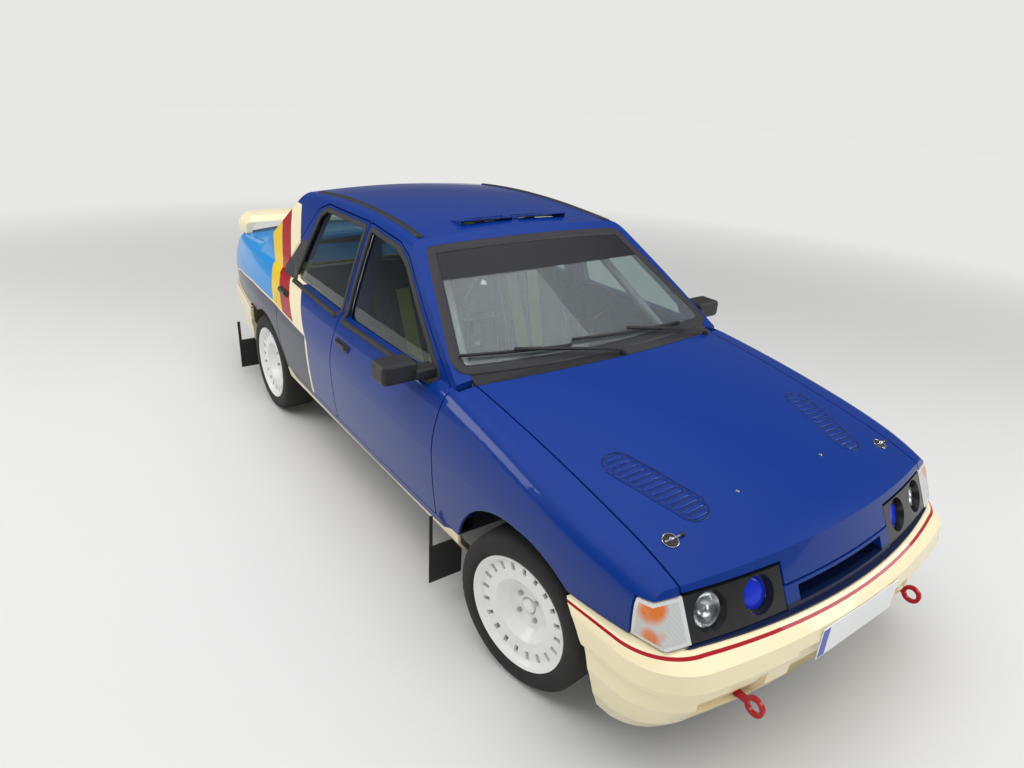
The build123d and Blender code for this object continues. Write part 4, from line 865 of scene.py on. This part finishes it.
# Seat in side view, (x, z, corner radius), and its bolsters' height along that line
SEAT_LINE = [(0.500, 0.395, 0.0), (0.470, 0.440, 0.03), (0.050, 0.402, 0.12), (0.000, 0.450, 0.10),
             (-0.205, 1.110, 0.0)]
BOLSTER = [(0.0, 0.030), (0.20, 0.080), (0.38, 0.105), (0.55, 0.130), (0.80, 0.095), (0.93, 0.045),
           (1.0, 0.016)]
SEAT_Y = 0.338


def between(table, x):
    for (x0, y0), (x1, y1) in zip(table, table[1:]):
        if x <= x1:
            return y0 + (y1 - y0) * (x - x0) / (x1 - x0)
    return table[-1][1]


def seat_stations():
    """Points up the seat's middle, the way towards the person, and the side bolsters' height."""
    line = corner_path(SEAT_LINE, closed=False, step=0.030)
    total = len(line) - 1
    rows = []
    for i, here in enumerate(line):
        along = (line[min(i + 1, total)] - line[max(i - 1, 0)]).normalized()
        rows.append((here, Vector((-along.y, along.x)) * -1, between(BOLSTER, i / total)))
    return rows


def seat_grid(centre, section, sink):
    """Lofted skin: section gives (across, share of the bolster's height, own height)."""
    points, rows = [], seat_stations()
    for i, (here, out, bolster) in enumerate(rows):
        channel = -0.007 if i % 4 == 2 else 0.0
        for across, share, own in section:
            lift = bolster * share + own + (channel if abs(across) < 0.15 else 0.0) - sink
            spot = here + out * lift
            points.append(Vector((spot.x, centre + across, spot.y)))
    return points, len(rows), len(section)


def skinned(front, back, rows, width):
    """Closed form between two grids of the same size."""
    faces = []
    total = rows * width
    for i in range(rows - 1):
        for k in range(width - 1):
            a, b = i * width + k, i * width + k + 1
            faces.append((a, b, b + width, a + width))
            faces.append((total + a + width, total + b + width, total + b, total + a))
        for a in (i * width, i * width + width - 1):
            faces.append((a, a + width, total + a + width, total + a))
    for k in range(width - 1):
        for a in (k, (rows - 1) * width + k):
            faces.append((a, a + 1, total + a + 1, total + a))
    return front + back, faces


# Half of the cover's section, (across, share of the bolster's height, own height)
COVER_SECTION = [(-0.232, 0.78, 0.0), (-0.224, 0.96, 0.004), (-0.206, 1.0, 0.012), (-0.184, 0.74, 0.016),
                 (-0.164, 0.30, 0.020), (-0.146, 0.06, 0.016), (-0.100, 0.0, 0.026), (-0.050, 0.0, 0.030),
                 (0.0, 0.0, 0.031)]
COVER_SECTION += [(-a, b, c) for a, b, c in reversed(COVER_SECTION[:-1])]


def seats():
    """Bucket seats: hard shell, padded cover with sewn channels, feet and a harness."""
    for side, name in ((-1, "right"), (1, "left")):
        centre = side * SEAT_Y
        front, rows, width = seat_grid(centre, COVER_SECTION, 0.0)
        back, _, _ = seat_grid(centre, COVER_SECTION, 0.020)
        points, faces = skinned(front, back, rows, width)
        cover = add_mesh("seat_cover_" + name, points, faces, "seat_cloth", "body")
        subdivision = cover.modifiers.new("smooth", "SUBSURF")
        subdivision.levels = subdivision.render_levels = 1
        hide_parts("seats")
        outer = [(a * 1.012, b, c) for a, b, c in COVER_SECTION]
        front, rows, width = seat_grid(centre, outer, 0.016)
        back, _, _ = seat_grid(centre, outer, 0.034)
        points, faces = skinned(front, back, rows, width)
        shell = add_mesh("seat_shell_" + name, points, faces, "seat_shell", "body")
        subdivision = shell.modifiers.new("smooth", "SUBSURF")
        subdivision.levels = subdivision.render_levels = 1
        for k, offset in enumerate((-0.175, 0.175)):
            low, high = (-0.05, centre + offset - 0.012, 0.277), (0.45, centre + offset + 0.012, 0.400)
            points, faces = box_mesh(low, high)
            soften(add_mesh(f"seat_foot_{name}_{k}", points, faces, "seat_shell", "body", False))
        harness(centre, name)


def harness(centre, name):
    """Two shoulder straps down to a buckle."""
    strap = [(-0.0375, -0.002), (0.0375, -0.002), (0.0375, 0.002), (-0.0375, 0.002)]
    stations = seat_stations()
    high = len(stations) - 4
    low = next(i for i, row in enumerate(stations) if row[0].x < 0.10)
    for k, offset in enumerate((-0.075, 0.075)):
        places, normals = [], []
        for i in range(low, high):
            here, out, _ = stations[i]
            spot = here + out * 0.035
            lean = offset * (0.35 + 0.65 * (i - low) / (high - low))
            places.append(Vector((spot.x, centre + lean, spot.y)))
            normals.append(Vector((out.x, 0, out.y)))
        points, faces = sweep(places, normals, strap)
        add_mesh(f"shoulder_strap_{name}_{k}", points, faces, "harness", "body", smooth=False)
    here, out, _ = stations[low]
    spot = here + out * 0.040
    points, faces = lathe([(0.0, 0.0), (0.030, 0.0), (0.030, 0.014), (0.024, 0.020), (0.0, 0.020)], 24)
    placed = stand(points, (spot.x, centre, spot.y), (out.x, 0, out.y))
    add_mesh("harness_buckle_" + name, placed, faces, "steel", "body", smooth=False)


# Ends of the louvres' field, (x, distance from the middle), half its width and the number of louvres
LOUVRE_REAR, LOUVRE_FRONT, LOUVRE_HALF, LOUVRES = (1.536, 0.519), (1.882, 0.417), 0.053, 13
GROOVE_HALF = 0.059


def louvre_reach(x, side):
    """How far a louvre at x runs to one side: the edge of a field with round ends."""
    rear, front = Vector(LOUVRE_REAR), Vector(LOUVRE_FRONT)
    way = (front - rear).normalized()
    rear, front = rear + way * LOUVRE_HALF, front - way * LOUVRE_HALF
    axis = (front - rear).length
    middle = rear.y + (x - rear.x) * way.y / way.x
    for step in range(120, -1, -1):
        spot = Vector((x, middle + side * step * 0.0006))
        along = min(max((spot - rear).dot(way), 0.0), axis)
        if (spot - rear - way * along).length <= LOUVRE_HALF:
            return spot.y
    return middle


def bar_faces(start, count, width):
    """Faces of a bar through count sections of width points each, with both its ends."""
    faces = []
    for a in range(start, start + (count - 1) * width, width):
        for m in range(width):
            n = (m + 1) % width
            faces.append((a + m, a + width + m, a + width + n, a + n))
    last = start + (count - 1) * width
    return faces + [tuple(range(start, start + width)), tuple(range(last, last + width))]


def louvres():
    """Two slanted fields of pressed louvres in the bonnet, open to the rear, each with a groove round it. The
    openings behind the lips and the groove are dark strips of painted shade.
    """
    rear, front = Vector(LOUVRE_REAR), Vector(LOUVRE_FRONT)
    profile = [(0.0145, -0.001), (0.008, 0.0024), (0.000, 0.0046), (-0.005, 0.0052), (-0.0058, -0.001)]
    slit = ((-0.0052, 0.0008), (-0.0105, 0.0008), (-0.0105, -0.001), (-0.0052, -0.001))
    lips, lip_faces, slits, slit_faces = [], [], [], []
    for i in range(LOUVRES):
        x = rear.x + (front.x - rear.x) * (i + 0.5) / LOUVRES
        low, high = louvre_reach(x, -1), louvre_reach(x, 1)
        lip_faces += bar_faces(len(lips), 9, len(profile))
        slit_faces += bar_faces(len(slits), 9, len(slit))
        for k in range(9):
            share = -1 + 2 * k / 8
            fade = math.sqrt(max(0.0, 1 - share**6))
            for shift, height in profile:
                spot = on_top(x + shift, -(low + (high - low) * k / 8))
                lips.append(spot[0] + spot[1] * (height if height < 0 else height * fade))
        for k in range(9):
            share = 0.02 + 0.96 * k / 8
            for shift, height in slit:
                spot = on_top(x + shift, -(low + (high - low) * share))
                slits.append(spot[0] + spot[1] * height)
    add_pair("louvre_lips", lips, lip_faces, "blue", "bonnet")
    # Dark strips behind the lips: painted shade in the louvres' openings
    add_pair("louvre_slits", slits, slit_faces, "under", "bonnet", smooth=False)
    way = (front - rear).normalized()
    heading = math.atan2(way.y, way.x)
    # The groove is a thin dark line of painted shade; the rim round it is raised body paint
    rings = (("groove", GROOVE_HALF, 0.0010, "under"), ("rim", GROOVE_HALF + 0.0034, 0.0018, "blue"))
    for name, radius, height, material in rings:
        path, normals = [], []
        for centre, turn in ((front - way * LOUVRE_HALF, -90), (rear + way * LOUVRE_HALF, 90)):
            for k in range(15):
                angle = heading + math.radians(turn + 180 * k / 14)
                path.append(centre + Vector((math.cos(angle), math.sin(angle))) * radius)
            side = -way if turn < 0 else way
            run = (front - rear).length - 2 * LOUVRE_HALF
            path += [path[-1] + side * run * k / 12 for k in range(1, 12)]
        spots = [on_top(spot.x, -spot.y) for spot in path]
        normals = [spot[1] for spot in spots]
        cut = [(-0.0016, -0.001), (-0.0013, height), (0.0013, height), (0.0016, -0.001)]
        points, faces = sweep([spot[0] for spot in spots], normals, cut, closed=True)
        add_pair("louvre_" + name, points, faces, material, "bonnet")


# Name, pivot (x, y), and the joint, tip and heel of the blade on the glass (y, z)
WIPERS = [("right", (1.026, 0.026), (-0.447, 1.018), (-0.672, 1.020), (-0.181, 1.008)),
          ("left", (0.985, 0.610), (0.144, 1.020), (-0.160, 1.022), (0.494, 0.998))]


def wipers():
    """Two arms with their blades, parked on the low edge of the windscreen."""
    for name, pivot, joint, tip, heel in WIPERS:
        foot, up = on_top(*pivot)
        cap = [(0.0, 0.024), (0.010, 0.023), (0.014, 0.018), (0.016, 0.0), (0.016, -0.006)]
        points, faces = lathe(cap, 20)
        add_mesh("wiper_pivot_" + name, stand(points, foot, up), faces, "black", "body")
        ends = [Vector(tip).lerp(Vector(heel), k / 14) for k in range(15)]
        places, normals = projected(ends, on_screen, closed=False)
        blade = [place + normal * 0.013 for place, normal in zip(places, normals)]
        section = [(-0.002, -0.010), (0.002, -0.010), (0.005, 0.0), (0.004, 0.005), (-0.004, 0.005),
                   (-0.005, 0.0)]
        points, faces = sweep(blade, normals, section)
        add_mesh("wiper_blade_" + name, points, faces, "black", "body")
        hook, out = on_screen(*joint)
        run = [foot + up * 0.018, foot.lerp(hook, 0.18) + up * 0.022]
        run += [foot.lerp(hook, 0.6) + out * 0.030, hook + out * 0.022]
        section = [(-0.008, -0.004), (0.008, -0.004), (0.006, 0.004), (-0.006, 0.004)]
        points, faces = sweep(run, [up, up, out, out], section)
        soften(add_mesh("wiper_arm_" + name, points, faces, "black", "body", False), 0.001)


def ground_and_light():
    bpy.ops.mesh.primitive_plane_add(size=60, location=(0, 0, 0))
    floor = bpy.context.object
    floor.name = "floor"
    graph = Graph("floor")
    x, y, _ = graph.axes()
    away = graph.math("SQRT", graph.plus(graph.times(x, x), graph.times(y, y)))
    fade = graph.math("DIVIDE", graph.minus(away, 3.2), 5.5, clamp=True)
    path = graph.add("ShaderNodeLightPath").outputs
    fade = graph.times(fade, graph.math("MAXIMUM", path["Is Camera Ray"], path["Is Glossy Ray"]))
    graph.set(Base_Color=graph.mix(fade, FLOOR, (0.0, 0.0, 0.0)), Roughness=0.9, Specular_IOR_Level=0.1)
    graph.set(Emission_Color=(*FLOOR, 1), Emission_Strength=graph.times(fade, 1.25))
    floor.data.materials.append(graph.material)
    world = bpy.data.worlds.new("studio")
    world.use_nodes = True
    tree = world.node_tree
    tree.nodes.clear()
    output = tree.nodes.new("ShaderNodeOutputWorld")
    background = tree.nodes.new("ShaderNodeBackground")
    ramp = tree.nodes.new("ShaderNodeValToRGB")
    split = tree.nodes.new("ShaderNodeSeparateXYZ")
    place = tree.nodes.new("ShaderNodeTexCoord")
    tree.links.new(place.outputs["Generated"], split.inputs[0])
    tree.links.new(split.outputs[2], ramp.inputs["Fac"])
    stops = ramp.color_ramp.elements
    stops[0].position, stops[0].color = 0.0, (0.40, 0.41, 0.42, 1)
    stops[1].position, stops[1].color = 0.86, (1.0, 1.0, 1.0, 1)
    for place, level in ((0.10, 0.20), (0.60, 0.24)):
        stops.new(place).color = (level, level * 1.03, level * 1.07, 1)
    tree.links.new(ramp.outputs[0], background.inputs["Color"])
    background.inputs["Strength"].default_value = 0.62
    pale = tree.nodes.new("ShaderNodeBackground")
    pale.inputs["Color"].default_value = (*FLOOR, 1)
    pale.inputs["Strength"].default_value = 1.25
    seen = tree.nodes.new("ShaderNodeMixShader")
    tree.links.new(tree.nodes.new("ShaderNodeLightPath").outputs["Is Camera Ray"], seen.inputs[0])
    tree.links.new(background.outputs[0], seen.inputs[1])
    tree.links.new(pale.outputs[0], seen.inputs[2])
    tree.links.new(seen.outputs[0], output.inputs["Surface"])
    bpy.context.scene.world = world
    # Name, place, size, power and aim
    lamps_at = (("overhead", (0.5, -0.6, 5.0), 6.0, 260, (0, 0, 0)),
                ("front_left", (4.5, 4.0, 3.4), 3.0, 130, (0.5, 0, 0.6)),
                ("right_rear", (-3.5, -5.0, 3.6), 3.5, 150, (-0.5, 0, 0.6)),
                ("front_right", (6.0, -3.6, 2.4), 3.0, 90, (1.6, -0.3, 0.4)))
    for name, place, size, power, aim in lamps_at:
        light = bpy.data.lights.new(name, "AREA")
        light.shape, light.size, light.energy = "SQUARE", size, power
        lamp = bpy.data.objects.new(name, light)
        lamp.location = place
        lamp.rotation_euler = (Vector(aim) - Vector(place)).to_track_quat("-Z", "Y").to_euler()
        lamp.visible_glossy = name not in ("overhead", "front_right")
        bpy.context.scene.collection.objects.link(lamp)


def camera():
    yaw, pitch, roll = (math.radians(a) for a in (CAMERA_YAW, CAMERA_PITCH, CAMERA_ROLL))
    ahead = Vector((math.cos(pitch) * math.cos(yaw), math.cos(pitch) * math.sin(yaw), math.sin(pitch)))
    right = ahead.cross(Vector((0, 0, 1))).normalized()
    up = right.cross(ahead)
    turned_right = right * math.cos(roll) + up * math.sin(roll)
    turned_up = up * math.cos(roll) - right * math.sin(roll)
    lens = bpy.data.cameras.new("camera")
    lens.sensor_width = 36
    lens.lens = FOCAL_PIXELS / FRAME_WIDTH * lens.sensor_width
    lens.clip_end = 200
    eye = bpy.data.objects.new("camera", lens)
    matrix = Matrix((turned_right, turned_up, -ahead)).transposed().to_4x4()
    matrix.translation = Vector(CAMERA_PLACE)
    eye.matrix_world = matrix
    bpy.context.scene.collection.objects.link(eye)
    bpy.context.scene.camera = eye


camera()
ground_and_light()
dress_nodes()
window_rubbers()
door_triangles()
screen_rubbers()
roof_mouldings()
tyres()
wheel_trim()
lamps()
number_plate()
handle_parts()
bonnet_fittings()
louvres()
wipers()
seats()
bpy.context.scene.view_settings.view_transform = "Standard"
